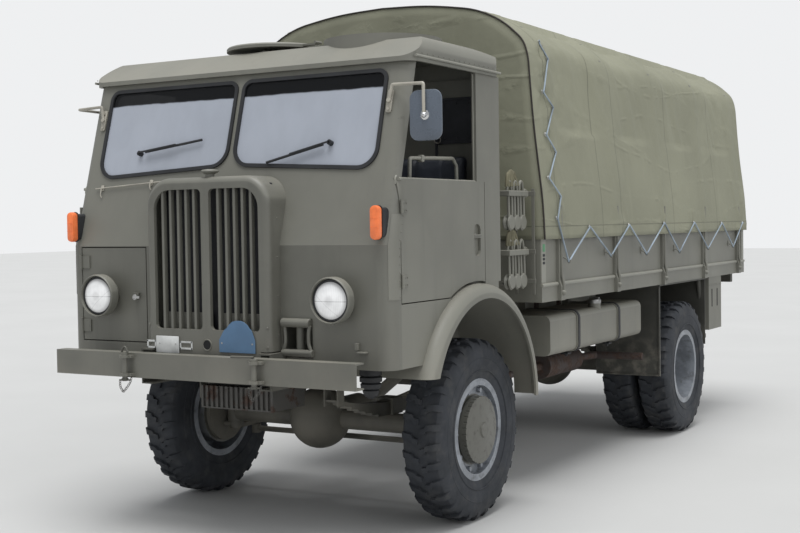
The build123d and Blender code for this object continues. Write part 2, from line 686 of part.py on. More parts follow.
# Cab sides: the skirt ahead of the wheel arch and the pillar behind the door
with BuildPart() as cab_sides:
    add(cab_shell)
    with BuildSketch(Plane.YZ.offset(-2 * CAB_HALF)):
        with BuildLine():
            Polyline((A_PILLAR_Y, CAB_BOTTOM), (A_PILLAR_Y, DOOR_BOTTOM - GAP),
                     (ARCH_CENTRE_Y, DOOR_BOTTOM - GAP), (ARCH_CENTRE_Y, CAB_BOTTOM), close=True)
        make_face()
        with BuildLine():
            Polyline((B_PILLAR_Y + GAP, CAB_BOTTOM), (B_PILLAR_Y + GAP, DOOR_TOP),
                     (B_PILLAR_Y - 90, DOOR_TOP), (B_PILLAR_Y - 90, EAVES_Z),
                     (CAB_REAR_Y - WALL, EAVES_Z), (CAB_REAR_Y - WALL, CAB_BOTTOM), close=True)
        make_face()
    extrude(amount=4 * CAB_HALF, mode=Mode.INTERSECT)
    with Locations((0, ARCH_CENTRE_Y, ARCH_CENTRE_Z)):
        Cylinder(ARCH_RADIUS, 4 * CAB_HALF, rotation=(0, 90, 0), mode=Mode.SUBTRACT)
write(cab_sides, "cab_sides")

# Cab rear wall with its window, standing on the two wheel arches
REAR_WINDOW = (900, 330)
REAR_WINDOW_Z = 2160
with BuildPart() as cab_rear:
    add(cab_shell)
    with Locations((0, CAB_REAR_Y, CAB_FLOOR_Z - FLOOR_SHEET)):
        Box(4 * CAB_HALF, 2 * WALL, EAVES_Z, align=(Align.CENTER, Align.CENTER, Align.MIN),
            mode=Mode.INTERSECT)
    with BuildSketch(Plane.XZ.offset(-CAB_REAR_Y)):
        with Locations((0, REAR_WINDOW_Z)):
            RectangleRounded(*REAR_WINDOW, 50)
    extrude(amount=WALL, mode=Mode.SUBTRACT)
write(cab_rear, "cab_rear")

# Doors: half-height, hung at the front edge, their bottom following the wheel arch
HANDLE_Y = FRONT_AXLE_Y - 90
HANDLE_Z = 1585
for side, s in (("left", 1), ("right", -1)):
    with BuildPart() as door:
        add(cab_shell)
        with BuildSketch(Plane.YZ.offset(s * PILLAR_X)):
            with BuildLine():
                Polyline((A_PILLAR_Y + GAP, DOOR_BOTTOM), (A_PILLAR_Y + GAP, DOOR_TOP),
                         (B_PILLAR_Y, DOOR_TOP), (B_PILLAR_Y, DOOR_BOTTOM), close=True)
            make_face()
            with Locations((ARCH_CENTRE_Y, ARCH_CENTRE_Z)):
                Circle(ARCH_RADIUS + DOOR_CLEARANCE, mode=Mode.SUBTRACT)
        extrude(amount=s * 200, mode=Mode.INTERSECT)
        with BuildSketch(Plane.YZ.offset(s * CAB_HALF)):
            with Locations((HANDLE_Y, HANDLE_Z)):
                RectangleRounded(78, 176, 36)
        extrude(amount=-s * 16, mode=Mode.SUBTRACT)
        with Locations((s * (CAB_HALF - 6), HANDLE_Y, HANDLE_Z + 20)):
            Box(12, 78, 18)
        for z in (DOOR_BOTTOM + 110, DOOR_TOP - 140):
            with Locations((s * (CAB_HALF + 10), A_PILLAR_Y + GAP / 2, z)):
                Cylinder(9, 70)
            with Locations((s * (CAB_HALF + 4), A_PILLAR_Y + GAP / 2, z)):
                Box(8, 60, 56, align=(Align.CENTER, Align.MIN, Align.CENTER))
    write(door, f"door_{side}")

# Roof: one pressed panel with deep rounded sides and a hatch ring; the lid lies open on two buffers
ROOF_OVERHANG = 12
ROOF_ROUND = 100
ROOF_SHEET = 18
BROW_LIP = 24  # height of the upright lip over the windscreen
BROW_LENGTH = 190
BROW_DROP = 8  # from the crown to the top of the brow
ROOF_REAR_DROP = 38
ROOF_FRONT_Y = slope_y(EAVES_Z) - 26
LID_X = 630
LID_Y = FRONT_AXLE_Y - 350
LID_OPENING = 270
RING_RADIUS = 325
RING_TOP = ROOF_TOP + 30
LID_RADIUS = 290
LID_THICKNESS = 24
LID_SEAT = 5
LID_HINGE_X = 275
LID_HINGE_Z = RING_TOP + 10
LID_OPEN_X = 2 * LID_HINGE_X - LID_X
LID_OPEN_Z = 2 * LID_HINGE_Z - (RING_TOP + LID_SEAT + LID_THICKNESS / 2)


def roof_plan(z, inset):
    """The roof's plan outline at height z, moved in by inset."""
    half = CAB_HALF + ROOF_OVERHANG - inset
    with BuildSketch(Plane.XY.offset(z)) as plan:
        with Locations((0, (ROOF_FRONT_Y + CAB_REAR_Y + ROOF_OVERHANG) / 2)):
            RectangleRounded(2 * half, CAB_REAR_Y + ROOF_OVERHANG - ROOF_FRONT_Y - 2 * inset,
                             CORNER - inset)
    return plan.sketch


def roof_block(inset):
    """The roof's outside (inset 0) or inside: its plan, cut by its front and side outlines."""
    half = CAB_HALF + ROOF_OVERHANG - inset
    front = ROOF_FRONT_Y + inset
    rear = CAB_REAR_Y + ROOF_OVERHANG - inset
    top = ROOF_TOP - inset
    with BuildPart() as block:
        add(roof_plan(EAVES_Z, inset))
        extrude(amount=ROOF_TOP - EAVES_Z)
        with BuildSketch(Plane.XZ.offset(-front)) as ends:
            with Locations((0, EAVES_Z)):
                Rectangle(2 * half, top - EAVES_Z, align=(Align.CENTER, Align.MIN))
            fillet(ends.vertices().group_by(Axis.Y)[-1], ROOF_ROUND - inset)
        extrude(ends.sketch, amount=rear - front, dir=(0, 1, 0), mode=Mode.INTERSECT)
        with BuildSketch(Plane.YZ.offset(-half)) as sides:
            with BuildLine():
                brow = (front + BROW_LENGTH, top - BROW_DROP)
                Polyline((rear, top - ROOF_REAR_DROP), (rear, EAVES_Z), (front, EAVES_Z),
                         (front, EAVES_Z + BROW_LIP - inset / 2), brow)
                ThreePointArc(brow, ((brow[0] + rear) / 2, top), (rear, top - ROOF_REAR_DROP))
            make_face()
        extrude(sides.sketch, amount=2 * half, dir=(1, 0, 0), mode=Mode.INTERSECT)
    return block.part


with BuildPart() as roof:
    add(roof_block(0))
    with Locations((LID_X, LID_Y, ROOF_TOP - ROOF_ROUND)):
        Cylinder(RING_RADIUS, RING_TOP - ROOF_TOP + ROOF_ROUND,
                 align=(Align.CENTER, Align.CENTER, Align.MIN))
    add(roof_block(ROOF_SHEET), mode=Mode.SUBTRACT)
    with Locations((LID_X, LID_Y, ROOF_TOP)):
        Cylinder(LID_OPENING, 3 * ROOF_ROUND, mode=Mode.SUBTRACT)
    for y in (-1, 1):
        with Locations((LID_HINGE_X + 26, LID_Y + y * 110, ROOF_TOP - ROOF_SHEET)):
            Box(60, 24, LID_HINGE_Z - 18 - ROOF_TOP + ROOF_SHEET,
                align=(Align.CENTER, Align.CENTER, Align.MIN))
        with Locations((LID_OPEN_X + 20, LID_Y + y * 150, ROOF_TOP - ROOF_SHEET - BROW_DROP)):
            Cylinder(26, LID_OPEN_Z - LID_THICKNESS / 2 - GAP - ROOF_TOP + ROOF_SHEET + BROW_DROP,
                     align=(Align.CENTER, Align.CENTER, Align.MIN))
write(roof, "cab_roof")

with BuildPart() as lid:
    with Locations((LID_OPEN_X, LID_Y, LID_OPEN_Z)):
        Cylinder(LID_RADIUS, LID_THICKNESS)
    chamfer(lid.edges().group_by(Axis.Z)[-1], 8)
    for y in (-1, 1):
        with Locations((LID_HINGE_X, LID_Y + y * 110, LID_HINGE_Z)):
            Cylinder(8, 60, rotation=(90, 0, 0))
        with Locations((LID_HINGE_X, LID_Y + y * 110, LID_OPEN_Z)):
            Box(130, 30, 10, align=(Align.MAX, Align.CENTER, Align.CENTER))
write(lid, "roof_lid")

# Radiator housing with two barred openings and a filler cap on top
SLOT_INNER = 27
SLOT_OUTER = 345
SLOT_BOTTOM = 1140
SLOT_TOP = 1880
SLOT_ROUND = 105
SLOT_CORNER = 25
BAR_COUNT = 5
BAR_WIDTH = 15
GRILLE_SKIN = 22
GRILLE_FACE_Y = FRONT_AXLE_Y - GRILLE_AHEAD


def slot_outline(s):
    """One opening of the radiator housing, rounder at its outer top corner."""
    with BuildSketch(Plane.XZ.offset(-GRILLE_FACE_Y)) as slot:
        with Locations((s * (SLOT_INNER + SLOT_OUTER) / 2, (SLOT_BOTTOM + SLOT_TOP) / 2)):
            Rectangle(SLOT_OUTER - SLOT_INNER, SLOT_TOP - SLOT_BOTTOM)
        fillet(slot.vertices().group_by(Axis.Y)[0], SLOT_CORNER)
        top = slot.vertices().group_by(Axis.Y)[-1].sort_by(Axis.X)
        fillet(top[-1] if s > 0 else top[0], SLOT_ROUND)
        top = slot.vertices().group_by(Axis.Y)[-1].sort_by(Axis.X)
        fillet(top[0] if s > 0 else top[-1], SLOT_CORNER)
    return slot.sketch


with BuildPart() as grille:
    extrude(grille_outline(GRILLE_AHEAD), amount=GRILLE_AHEAD - FIREWALL_AHEAD, dir=(0, 1, 0))
    fillet(grille.faces().sort_by(Axis.Y)[0].edges().sort_by(Axis.Z)[1:], GRILLE_EDGE)
    with BuildSketch(Plane.XZ.offset(-(GRILLE_FACE_Y + GRILLE_SKIN))):
        with Locations((0, (GRILLE_BOTTOM + GRILLE_TOP) / 2)):
            hollow = Rectangle(2 * (GRILLE_HALF - GRILLE_SKIN),
                               GRILLE_TOP - GRILLE_BOTTOM - 2 * GRILLE_SKIN)
        fillet(hollow.vertices().group_by(Axis.Y)[-1], GRILLE_ROUND - GRILLE_SKIN)
    extrude(amount=-400, mode=Mode.SUBTRACT)
    for s in (1, -1):
        extrude(slot_outline(s), amount=GRILLE_SKIN + 1, dir=(0, 1, 0), mode=Mode.SUBTRACT)
    pitch = (SLOT_OUTER - SLOT_INNER) / (BAR_COUNT + 1)
    for s in (1, -1):
        for i in range(BAR_COUNT):
            x = s * (SLOT_INNER + pitch * (i + 1))
            with Locations((x, GRILLE_FACE_Y + GRILLE_SKIN, (SLOT_BOTTOM + SLOT_TOP) / 2)):
                Box(BAR_WIDTH, 26, SLOT_TOP - SLOT_BOTTOM + 24)
    cap_y = GRILLE_FACE_Y + 52
    with BuildSketch(Plane(origin=(0, cap_y, GRILLE_TOP), x_dir=(1, 0, 0), z_dir=(0, -1, 0))):
        with BuildLine():
            Polyline((0, 2 - GRILLE_SKIN), (24, 2 - GRILLE_SKIN), (24, 14), (46, 24), (48, 31), (40, 38),
                     (20, 41), (0, 41), close=True)
        make_face()
    revolve(axis=Axis((0, cap_y, 0), (0, 0, 1)))
    for s in (1, -1):
        with Locations((s * (RAIL_OUTER_X - RAIL_WIDTH / 2), GRILLE_FACE_Y, RAIL_TOP + GAP)):
            Box(RAIL_WIDTH + 2 * GAP, 700, 200, align=(Align.CENTER, Align.CENTER, Align.MAX),
                mode=Mode.SUBTRACT)
write(grille, "grille_housing")

# Windscreen: a rubber seal round each pane
OUT_OF_PANE = WINDSCREEN_PLANE.z_dir
with BuildPart() as seals:
    for s in (1, -1):
        extrude(pane_outline(s, 0), amount=10, dir=OUT_OF_PANE)
        extrude(pane_outline(s, 0), amount=WALL + 4, dir=-OUT_OF_PANE)
        extrude(pane_outline(s, SEAL), amount=60, dir=OUT_OF_PANE, both=True, mode=Mode.SUBTRACT)
write(seals, "windscreen_seals")

with BuildPart() as glass:
    for s in (1, -1):
        extrude(pane_outline(s, SEAL), amount=6, dir=-OUT_OF_PANE)
write(glass, "windscreen_glass")

# Wheel arches: a rolled sheet with an outward lip, right through under the cab
FENDER_FRONT_Z = 885
FENDER_REAR_Z = 650
FENDER_REAR_INNER_Z = 780  # inside FENDER_TURN_X, where the steered tyre swings
FENDER_TURN_X = 960
FENDER_ROUND = FENDER_OUTER_X - CAB_HALF - 6  # the shoulder starts just outside the cab's side
with BuildPart() as fenders:
    for s in (1, -1):
        section = Plane(origin=(0, ARCH_CENTRE_Y, ARCH_CENTRE_Z), x_dir=(1, 0, 0), z_dir=(0, 0, 1))
        with BuildSketch(section):
            with BuildLine():
                outer = FENDER_OUTER_X
                inner = FENDER_OUTER_X - FENDER_SHEET
                start = FENDER_OUTER_X - FENDER_ROUND
                top = ARCH_RADIUS
                low = ARCH_RADIUS - FENDER_ROUND
                bend = FENDER_ROUND * (1 - cos(radians(45)))
                Line((s * FENDER_INNER_X, top), (s * start, top))
                ThreePointArc((s * start, top), (s * (outer - bend), top - bend), (s * outer, low))
                Polyline((s * outer, low), (s * outer, top - FENDER_LIP), (s * inner, top - FENDER_LIP),
                         (s * inner, low))
                ThreePointArc(
                    (s * inner, low),
                    (s * (inner - bend + 4), top - FENDER_SHEET - bend + 4),
                    (s * start, top - FENDER_SHEET),
                )
                Polyline((s * start, top - FENDER_SHEET), (s * FENDER_INNER_X, top - FENDER_SHEET),
                         (s * FENDER_INNER_X, top))
            make_face()
        revolve(axis=Axis(section.origin, (1, 0, 0)))
    with Locations((0, ARCH_CENTRE_Y, FENDER_FRONT_Z)):
        Box(3000, 1000, 2000, align=(Align.CENTER, Align.MAX, Align.MAX), mode=Mode.SUBTRACT)
    with Locations((0, ARCH_CENTRE_Y, FENDER_REAR_Z)):
        Box(3000, 1000, 2000, align=(Align.CENTER, Align.MIN, Align.MAX), mode=Mode.SUBTRACT)
    with Locations((0, ARCH_CENTRE_Y, FENDER_REAR_INNER_Z)):
        Box(2 * FENDER_TURN_X, 1000, 2000, align=(Align.CENTER, Align.MIN, Align.MAX),
            mode=Mode.SUBTRACT)
write(fenders, "fenders")

# Cab floor over the arches, the toe board and the engine cover between the seats
TUNNEL_HALF = 345
STEP_DEPTH = 150
FOOTWELL_Z = RAIL_TOP + FLOOR_SHEET
TOE_Y = (FRONT_AXLE_Y - 830, FRONT_AXLE_Y - 640)
COVER_Y = (FRONT_AXLE_Y - FIREWALL_AHEAD, FRONT_AXLE_Y + 160)
COVER_Z = 1610
with BuildPart() as floor:
    with BuildSketch(Plane.YZ.offset(-(CAB_HALF - WALL))):
        with BuildLine():
            front = CAB_FRONT_Y + WALL
            rear = CAB_REAR_Y - WALL
            Polyline((front, FOOTWELL_Z), (TOE_Y[0], FOOTWELL_Z), (TOE_Y[1], CAB_FLOOR_Z),
                     (rear, CAB_FLOOR_Z), (rear, CAB_FLOOR_Z - FLOOR_SHEET),
                     (TOE_Y[1] + 7, CAB_FLOOR_Z - FLOOR_SHEET),
                     (TOE_Y[0] + 7, RAIL_TOP), (front, RAIL_TOP), close=True)
        make_face()
    extrude(amount=2 * (CAB_HALF - WALL))
    with Locations((0, CAB_FRONT_Y, 900)):
        Box(2 * (TUNNEL_HALF - FLOOR_SHEET), 3000, 900, mode=Mode.SUBTRACT)
    for s in (1, -1):
        with Locations((s * CAB_HALF, CAB_FRONT_Y, RAIL_TOP)):
            Box(2 * CORNER, 2 * CORNER, 4 * FLOOR_SHEET, mode=Mode.SUBTRACT)
    with Locations((sum(STEP_X) / 2, CAB_FRONT_Y, RAIL_TOP)):
        Box(STEP_X[1] - STEP_X[0] + 14, 2 * (WALL + STEP_DEPTH + 1), 4 * FLOOR_SHEET,
            mode=Mode.SUBTRACT)
    with Locations((0, COVER_Y[0], RAIL_TOP)):
        Box(2 * GRILLE_HALF, 400, 4 * FLOOR_SHEET, align=(Align.CENTER, Align.MAX, Align.CENTER),
            mode=Mode.SUBTRACT)
    extrude(grille_outline(FIREWALL_AHEAD), amount=FLOOR_SHEET, dir=(0, 1, 0))
    with Locations((0, COVER_Y[0], RAIL_TOP)):
        Box(3 * GRILLE_HALF, 200, 200, align=(Align.CENTER, Align.CENTER, Align.MAX),
            mode=Mode.SUBTRACT)
    with Locations((0, sum(COVER_Y) / 2, RAIL_TOP)):
        Box(2 * TUNNEL_HALF, COVER_Y[1] - COVER_Y[0], COVER_Z - RAIL_TOP,
            align=(Align.CENTER, Align.CENTER, Align.MIN))
        Box(2 * (TUNNEL_HALF - FLOOR_SHEET), COVER_Y[1] - COVER_Y[0] - 2 * FLOOR_SHEET,
            COVER_Z - RAIL_TOP - FLOOR_SHEET, align=(Align.CENTER, Align.CENTER, Align.MIN),
            mode=Mode.SUBTRACT)
write(floor, "cab_floor")

# Seats, dashboard and steering; the driver sits on the right
SEAT_X = CAB_HALF - 365
SEAT_Y = FRONT_AXLE_Y - 190
SEAT_Z = 1640
SEAT_WIDTH = 480
SEAT_DEPTH = 460
with BuildPart() as seats:
    for s in (1, -1):
        with Locations((s * SEAT_X, SEAT_Y, CAB_FLOOR_Z)):
            Box(SEAT_WIDTH - 60, SEAT_DEPTH - 60, SEAT_Z - CAB_FLOOR_Z - 60,
                align=(Align.CENTER, Align.CENTER, Align.MIN))
        with BuildSketch(Plane.YZ.offset(s * SEAT_X - SEAT_WIDTH / 2)):
            with Locations((SEAT_Y, SEAT_Z - 45)):
                RectangleRounded(SEAT_DEPTH, 90, 28)
            with Locations((SEAT_Y + SEAT_DEPTH / 2 + 20, SEAT_Z + 200)):
                RectangleRounded(84, 470, 28)
        extrude(amount=SEAT_WIDTH)
write(seats, "seats")

DASH_HALF = CAB_HALF - WALL - 90
with BuildPart() as dashboard:
    with BuildSketch(Plane.YZ.offset(-DASH_HALF)):
        with BuildLine():
            Polyline((slope_y(1905) + WALL, 1905), (slope_y(1905) + 170, 1890),
                     (slope_y(1905) + 190, 1800), (slope_y(1700) + WALL, 1700), close=True)
        make_face()
    extrude(amount=2 * DASH_HALF)
    extrude(grille_outline(CAB_AHEAD), amount=CAB_AHEAD - FIREWALL_AHEAD + FLOOR_SHEET, dir=(0, 1, 0),
            mode=Mode.SUBTRACT)
write(dashboard, "dashboard")

STEER_TILT = 22
STEER_RADIUS = 235
STEER_CENTRE = (-560, FRONT_AXLE_Y - 560, 1985)
STEER_AXIS = Vector(0, sin(radians(STEER_TILT)), cos(radians(STEER_TILT)))
STEER_PLANE = Plane(origin=STEER_CENTRE, x_dir=(1, 0, 0), z_dir=STEER_AXIS)
with BuildPart() as wheel:
    with BuildSketch(Plane(origin=STEER_CENTRE, x_dir=(1, 0, 0), z_dir=STEER_AXIS.cross(Vector(1, 0, 0)))):
        with Locations((STEER_RADIUS, 0)):
            Circle(14)
    revolve(axis=Axis(STEER_CENTRE, STEER_AXIS))
    with BuildSketch(STEER_PLANE.offset(-40)):
        Circle(44)
    extrude(amount=46)
    with BuildSketch(STEER_PLANE.offset(-8)):
        for turn in (90, 210, 330):
            with Locations(Location((0, 0), turn)):
                Rectangle(STEER_RADIUS, 30, align=(Align.MIN, Align.CENTER))
    extrude(amount=9)
write(wheel, "steering_wheel")
COLUMN_LENGTH = (STEER_CENTRE[2] - FOOTWELL_Z - 12) / STEER_AXIS.Z
with BuildPart() as column:
    with BuildSketch(STEER_PLANE.offset(-46)):
        Circle(26)
    extrude(amount=-COLUMN_LENGTH + 46)
write(column, "steering_column")

# Headlights with bowl, rim and domed lens; the right one hangs on the front hatch
LAMP_RADIUS = 118
LENS_AHEAD = 1152
LENS_RADIUS = 102
LENS_RISE = 13
for side, x in (("left", LAMP_X), ("right", -LAMP_X)):
    with BuildPart() as headlight:
        reach = LENS_AHEAD - CAB_AHEAD
        lens = (LENS_RADIUS**2 + LENS_RISE**2) / (2 * LENS_RISE)
        turn = asin(LENS_RADIUS / lens) / 2
        with BuildSketch(Plane(origin=(x, CAB_FRONT_Y, LAMP_Z), x_dir=(1, 0, 0), z_dir=(0, 0, 1))):
            with BuildLine():
                Polyline((0, 0), (78, 0), (LAMP_RADIUS - 14, -reach + 70),
                         (LAMP_RADIUS, -reach + 60), (LAMP_RADIUS, -reach + LENS_RISE),
                         (LENS_RADIUS, -reach + LENS_RISE))
                ThreePointArc((LENS_RADIUS, -reach + LENS_RISE),
                              (lens * sin(turn), -reach + lens * (1 - cos(turn))), (0, -reach))
                Line((0, -reach), (0, 0))
            make_face()
        revolve(axis=Axis((x, CAB_FRONT_Y, LAMP_Z), (0, 1, 0)))
    write(headlight, f"headlight_{side}")

SIGNAL_X = CAB_HALF - 57
SIGNAL_Z = 1690
SIGNAL_Y = slope_y(SIGNAL_Z)
with BuildPart() as signals:
    for s in (1, -1):
        with BuildSketch(Plane.XZ.offset(-(SIGNAL_Y - 32))):
            with Locations((s * SIGNAL_X, SIGNAL_Z)):
                RectangleRounded(52, 169, 25)
        extrude(amount=-26)
        with Locations((s * SIGNAL_X, SIGNAL_Y - 8, SIGNAL_Z)):
            Box(36, 90, 120, align=(Align.CENTER, Align.MIN, Align.CENTER))
    add(cab_block(0, CAB_BOTTOM), mode=Mode.SUBTRACT)
write(signals, "turn_signals")

# Mirrors on bent arms from the front pillars; the right one is swung back along the cab's side
MIRROR_WIDTH = 180
MIRROR_HEIGHT = 250
MIRROR_ROUND = 45
MIRROR_CASE = 28
ARM_RADIUS = 9
ARM_ROOT_X = PANE_OUTER + 27
ARM_ROOT_Z = EAVES_Z - 205
ARM_TOP_Z = EAVES_Z - 122
ARM_ROOT = (ARM_ROOT_X, slope_y(ARM_ROOT_Z) - 14, ARM_ROOT_Z)
ARM_BEND = (ARM_ROOT_X + 16, slope_y(ARM_TOP_Z) - 30, ARM_TOP_Z)
LEFT_HEAD = (CAB_HALF + 130, FRONT_AXLE_Y - 915, ARM_TOP_Z - 168)
RIGHT_HEAD = (CAB_HALF + 112, FRONT_AXLE_Y - 437, ARM_TOP_Z - 93)
ARMS = (
    (1, (ARM_ROOT, ARM_BEND, (*LEFT_HEAD[:2], ARM_TOP_Z - 12), LEFT_HEAD), (0, 1, 0)),
    (-1, (ARM_ROOT, ARM_BEND, (RIGHT_HEAD[0], ARM_BEND[1] + 20, ARM_TOP_Z - 4),
          (*RIGHT_HEAD[:2], ARM_TOP_Z - 12), RIGHT_HEAD), (-1, 0, 0)),
)
with BuildPart() as mirrors:
    for s, path, facing in ARMS:
        path = [Vector(s * x, y, z) for x, y, z in path]
        add(bent_rod(path, ARM_RADIUS))
        with Locations(path[-1]):
            Sphere(18)
        with BuildSketch(Plane(origin=path[-1] + Vector(facing) * 12, x_dir=(0, 0, 1), z_dir=facing)):
            RectangleRounded(MIRROR_HEIGHT, MIRROR_WIDTH, MIRROR_ROUND)
        extrude(amount=MIRROR_CASE)
        with BuildSketch(Plane(origin=(s * ARM_ROOT_X, slope_y(ARM_ROOT_Z), ARM_ROOT_Z),
                               x_dir=(1, 0, 0), z_dir=WINDSCREEN_PLANE.z_dir)):
            RectangleRounded(30, 120, 8)
        extrude(amount=16, both=True)
    add(cab_block(0, CAB_BOTTOM), mode=Mode.SUBTRACT)
    for s in (1, -1):
        extrude(pane_outline(s, 0), amount=60, dir=WINDSCREEN_PLANE.z_dir, mode=Mode.SUBTRACT)
write(mirrors, "mirrors")

# Wipers, each as its pivot and its tip, as (x, z) on the windscreen
WIPERS = (((-638, 2094), (-203, 2151)), ((640, 2100), (257, 2009)))
with BuildPart() as wipers:
    for pivot, tip in WIPERS:
        start = Vector(pivot[0], up_slope(pivot[1]), 0)
        end = Vector(tip[0], up_slope(tip[1]), 0)
        out = Vector(0, 0, 1)
        blade = (start + (end - start) * 0.1 + out * 19, end + out * 19)
        arm = (start + out * 10, start + out * 33, start + (end - start) * 0.6 + out * 33,
               start + (end - start) * 0.6 + out * 17)
        boss = (start, start + out * 26)
        add(rod(*[WINDSCREEN_PLANE.from_local_coords(point) for point in boss], 14))
        add(rod(*[WINDSCREEN_PLANE.from_local_coords(point) for point in blade], 7))
        add(bent_rod([WINDSCREEN_PLANE.from_local_coords(point) for point in arm], 5))
write(wipers, "wipers")

# Ribbed rubber outlet under the cab's left front corner, and the two rungs of the step
BELLOWS_X = CAB_HALF - 208
BELLOWS_Y = FRONT_AXLE_Y - 900
with BuildPart() as bellows:
    with BuildSketch(Plane(origin=(BELLOWS_X, BELLOWS_Y, 0), x_dir=(1, 0, 0), z_dir=(0, -1, 0))):
        with BuildLine():
            Polyline((0, 957), (58, 957), (58, 918), (48, 912), (58, 906), (58, 884), (46, 878),
                     (54, 872), (52, 850), (38, 844), (44, 838), (36, 812), (14, 796), (0, 794),
                     close=True)
        make_face()
    revolve(axis=Axis((BELLOWS_X, BELLOWS_Y, 0), (0, 0, 1)))
write(bellows, "drain_bellows")

RUNG_RADIUS = 12
with BuildPart() as step:
    with Locations((sum(STEP_X) / 2, CAB_FRONT_Y + WALL, sum(STEP_Z) / 2)):
        Box(STEP_X[1] - STEP_X[0] + 12, STEP_DEPTH, STEP_Z[1] - STEP_Z[0] + 12,
            align=(Align.CENTER, Align.MIN, Align.CENTER))
        Box(STEP_X[1] - STEP_X[0], 2 * (STEP_DEPTH - 6), STEP_Z[1] - STEP_Z[0], mode=Mode.SUBTRACT)
    for z in (STEP_Z[0] + 40, STEP_Z[1] - 60):
        add(rod((STEP_X[0] - 6, CAB_FRONT_Y + 42, z), (STEP_X[1] + 6, CAB_FRONT_Y + 42, z), RUNG_RADIUS))
    with Locations((0, CAB_FRONT_Y, CAB_BOTTOM)):
        Box(2 * (RAIL_OUTER_X + GAP), 800, RAIL_TOP + GAP - CAB_BOTTOM,
            align=(Align.CENTER, Align.CENTER, Align.MIN), mode=Mode.SUBTRACT)
write(step, "front_step")

# Load bed: bearers on the rails, sills all round, a planked floor and fixed side boards
SILL_WIDTH = 70
BEARER_Y = [FRONT_AXLE_Y + y for y in (1350, 2080, 2700, 4110, 4760)]
with BuildPart() as bed_frame:
    with Locations((0, (BED_FRONT_Y + BED_REAR_Y) / 2, (SILL_BOTTOM + DECK_TOP) / 2)):
        Box(2 * BED_HALF, BED_REAR_Y - BED_FRONT_Y, DECK_TOP - SILL_BOTTOM)
        Box(2 * (BED_HALF - SILL_WIDTH), BED_REAR_Y - BED_FRONT_Y - 2 * SILL_WIDTH, 200,
            mode=Mode.SUBTRACT)
    for y in BEARER_Y:
        with Locations((0, y, SILL_BOTTOM)):
            Box(2 * BED_HALF - SILL_WIDTH, 70, DECK_TOP - 28 - SILL_BOTTOM,
                align=(Align.CENTER, Align.CENTER, Align.MIN))
    for s in (1, -1):
        with Locations((s * (RAIL_OUTER_X - RAIL_WIDTH / 2), BED_FRONT_Y, RAIL_TOP)):
            Box(RAIL_WIDTH, FRAME_REAR_Y - BED_FRONT_Y, SILL_BOTTOM - RAIL_TOP,
                align=(Align.CENTER, Align.MIN, Align.MIN))
write(bed_frame, "bed_frame")

with BuildPart() as bed_floor:
    with Locations((0, (BED_FRONT_Y + BED_REAR_Y) / 2, DECK_TOP - 28)):
        Box(2 * (BED_HALF - SILL_WIDTH), BED_REAR_Y - BED_FRONT_Y - 2 * SILL_WIDTH, 28,
            align=(Align.CENTER, Align.CENTER, Align.MIN))
write(bed_floor, "bed_floor")

BOARD_X = 1086  # outside of the side boards
with BuildPart() as bed_boards:
    for s in (1, -1):
        with Locations((s * (BOARD_X - BOARD / 2), BED_FRONT_Y, DECK_TOP)):
            Box(BOARD, BED_REAR_Y - BED_FRONT_Y - 4, BOARD_TOP - DECK_TOP,
                align=(Align.CENTER, Align.MIN, Align.MIN))
    with Locations((0, BED_FRONT_Y, DECK_TOP)):
        Box(2 * BOARD_X, BOARD, BOARD_TOP - DECK_TOP, align=(Align.CENTER, Align.MIN, Align.MIN))
write(bed_boards, "bed_boards")

POST_WIDTH = 60
POST_OUT = 1106
with BuildPart() as board_posts:
    for s in (1, -1):
        for y in POST_Y:
            with BuildSketch(Plane.XZ.offset(-(y - POST_WIDTH / 2))):
                with BuildLine():
                    Polyline((s * BOARD_X, BOARD_TOP), (s * POST_OUT, BOARD_TOP),
                             (s * POST_OUT, DECK_TOP + 30), (s * (POST_OUT + 14), DECK_TOP - 10),
                             (s * (POST_OUT + 14), SILL_BOTTOM),
                             (s * BED_HALF, SILL_BOTTOM), (s * BED_HALF, DECK_TOP),
                             (s * BOARD_X, DECK_TOP), close=True)
                make_face()
            extrude(amount=-POST_WIDTH)
            with Locations((s * (POST_OUT + 14), y, (SILL_BOTTOM + DECK_TOP) / 2)):
                Sphere(20)
write(board_posts, "board_posts")

# Tailgate, hinged along its bottom edge
TAILGATE_HINGE_Y = BED_REAR_Y + 20
TAILGATE_HINGE_Z = DECK_TOP - 4
TAILGATE_HALF = BOARD_X - BOARD - GAP
with BuildPart() as tailgate:
    with Locations((0, BED_REAR_Y, DECK_TOP + GAP)):
        Box(2 * TAILGATE_HALF, BOARD, BOARD_TOP - DECK_TOP - GAP,
            align=(Align.CENTER, Align.MAX, Align.MIN))
    for x in (-800, 0, 800):
        with Locations((x, BED_REAR_Y, DECK_TOP + GAP)):
            Box(60, 12, 360, align=(Align.CENTER, Align.MIN, Align.MIN))
        with Locations((x, BED_REAR_Y + GAP, TAILGATE_HINGE_Z)):
            Box(60, 16, 50, align=(Align.CENTER, Align.MIN, Align.MIN))
        pin = (TAILGATE_HINGE_Y, TAILGATE_HINGE_Z)
        add(rod((x - 50, *pin), (x + 50, *pin), 12))
write(tailgate, "tailgate")

# Cover: one outline for the cloth, the bows follow it inside
COVER_SECTION = (
    (COVER_HALF, COVER_HEM),
    (COVER_HALF - 10, COVER_TOP - 1272),
    (COVER_HALF - 70, COVER_TOP - 778),
    (COVER_HALF - 98, COVER_TOP - 384),
    (COVER_HALF - 126, COVER_TOP - 282),
    (COVER_HALF - 268, COVER_TOP - 151),
    (COVER_HALF * 0.6, COVER_TOP - 67),
    (COVER_HALF * 0.3, COVER_TOP - 12),
    (0, COVER_TOP),
)
COVER_FRONT_Y = BED_FRONT_Y - 12
COVER_REAR_Y = BED_REAR_Y + 8


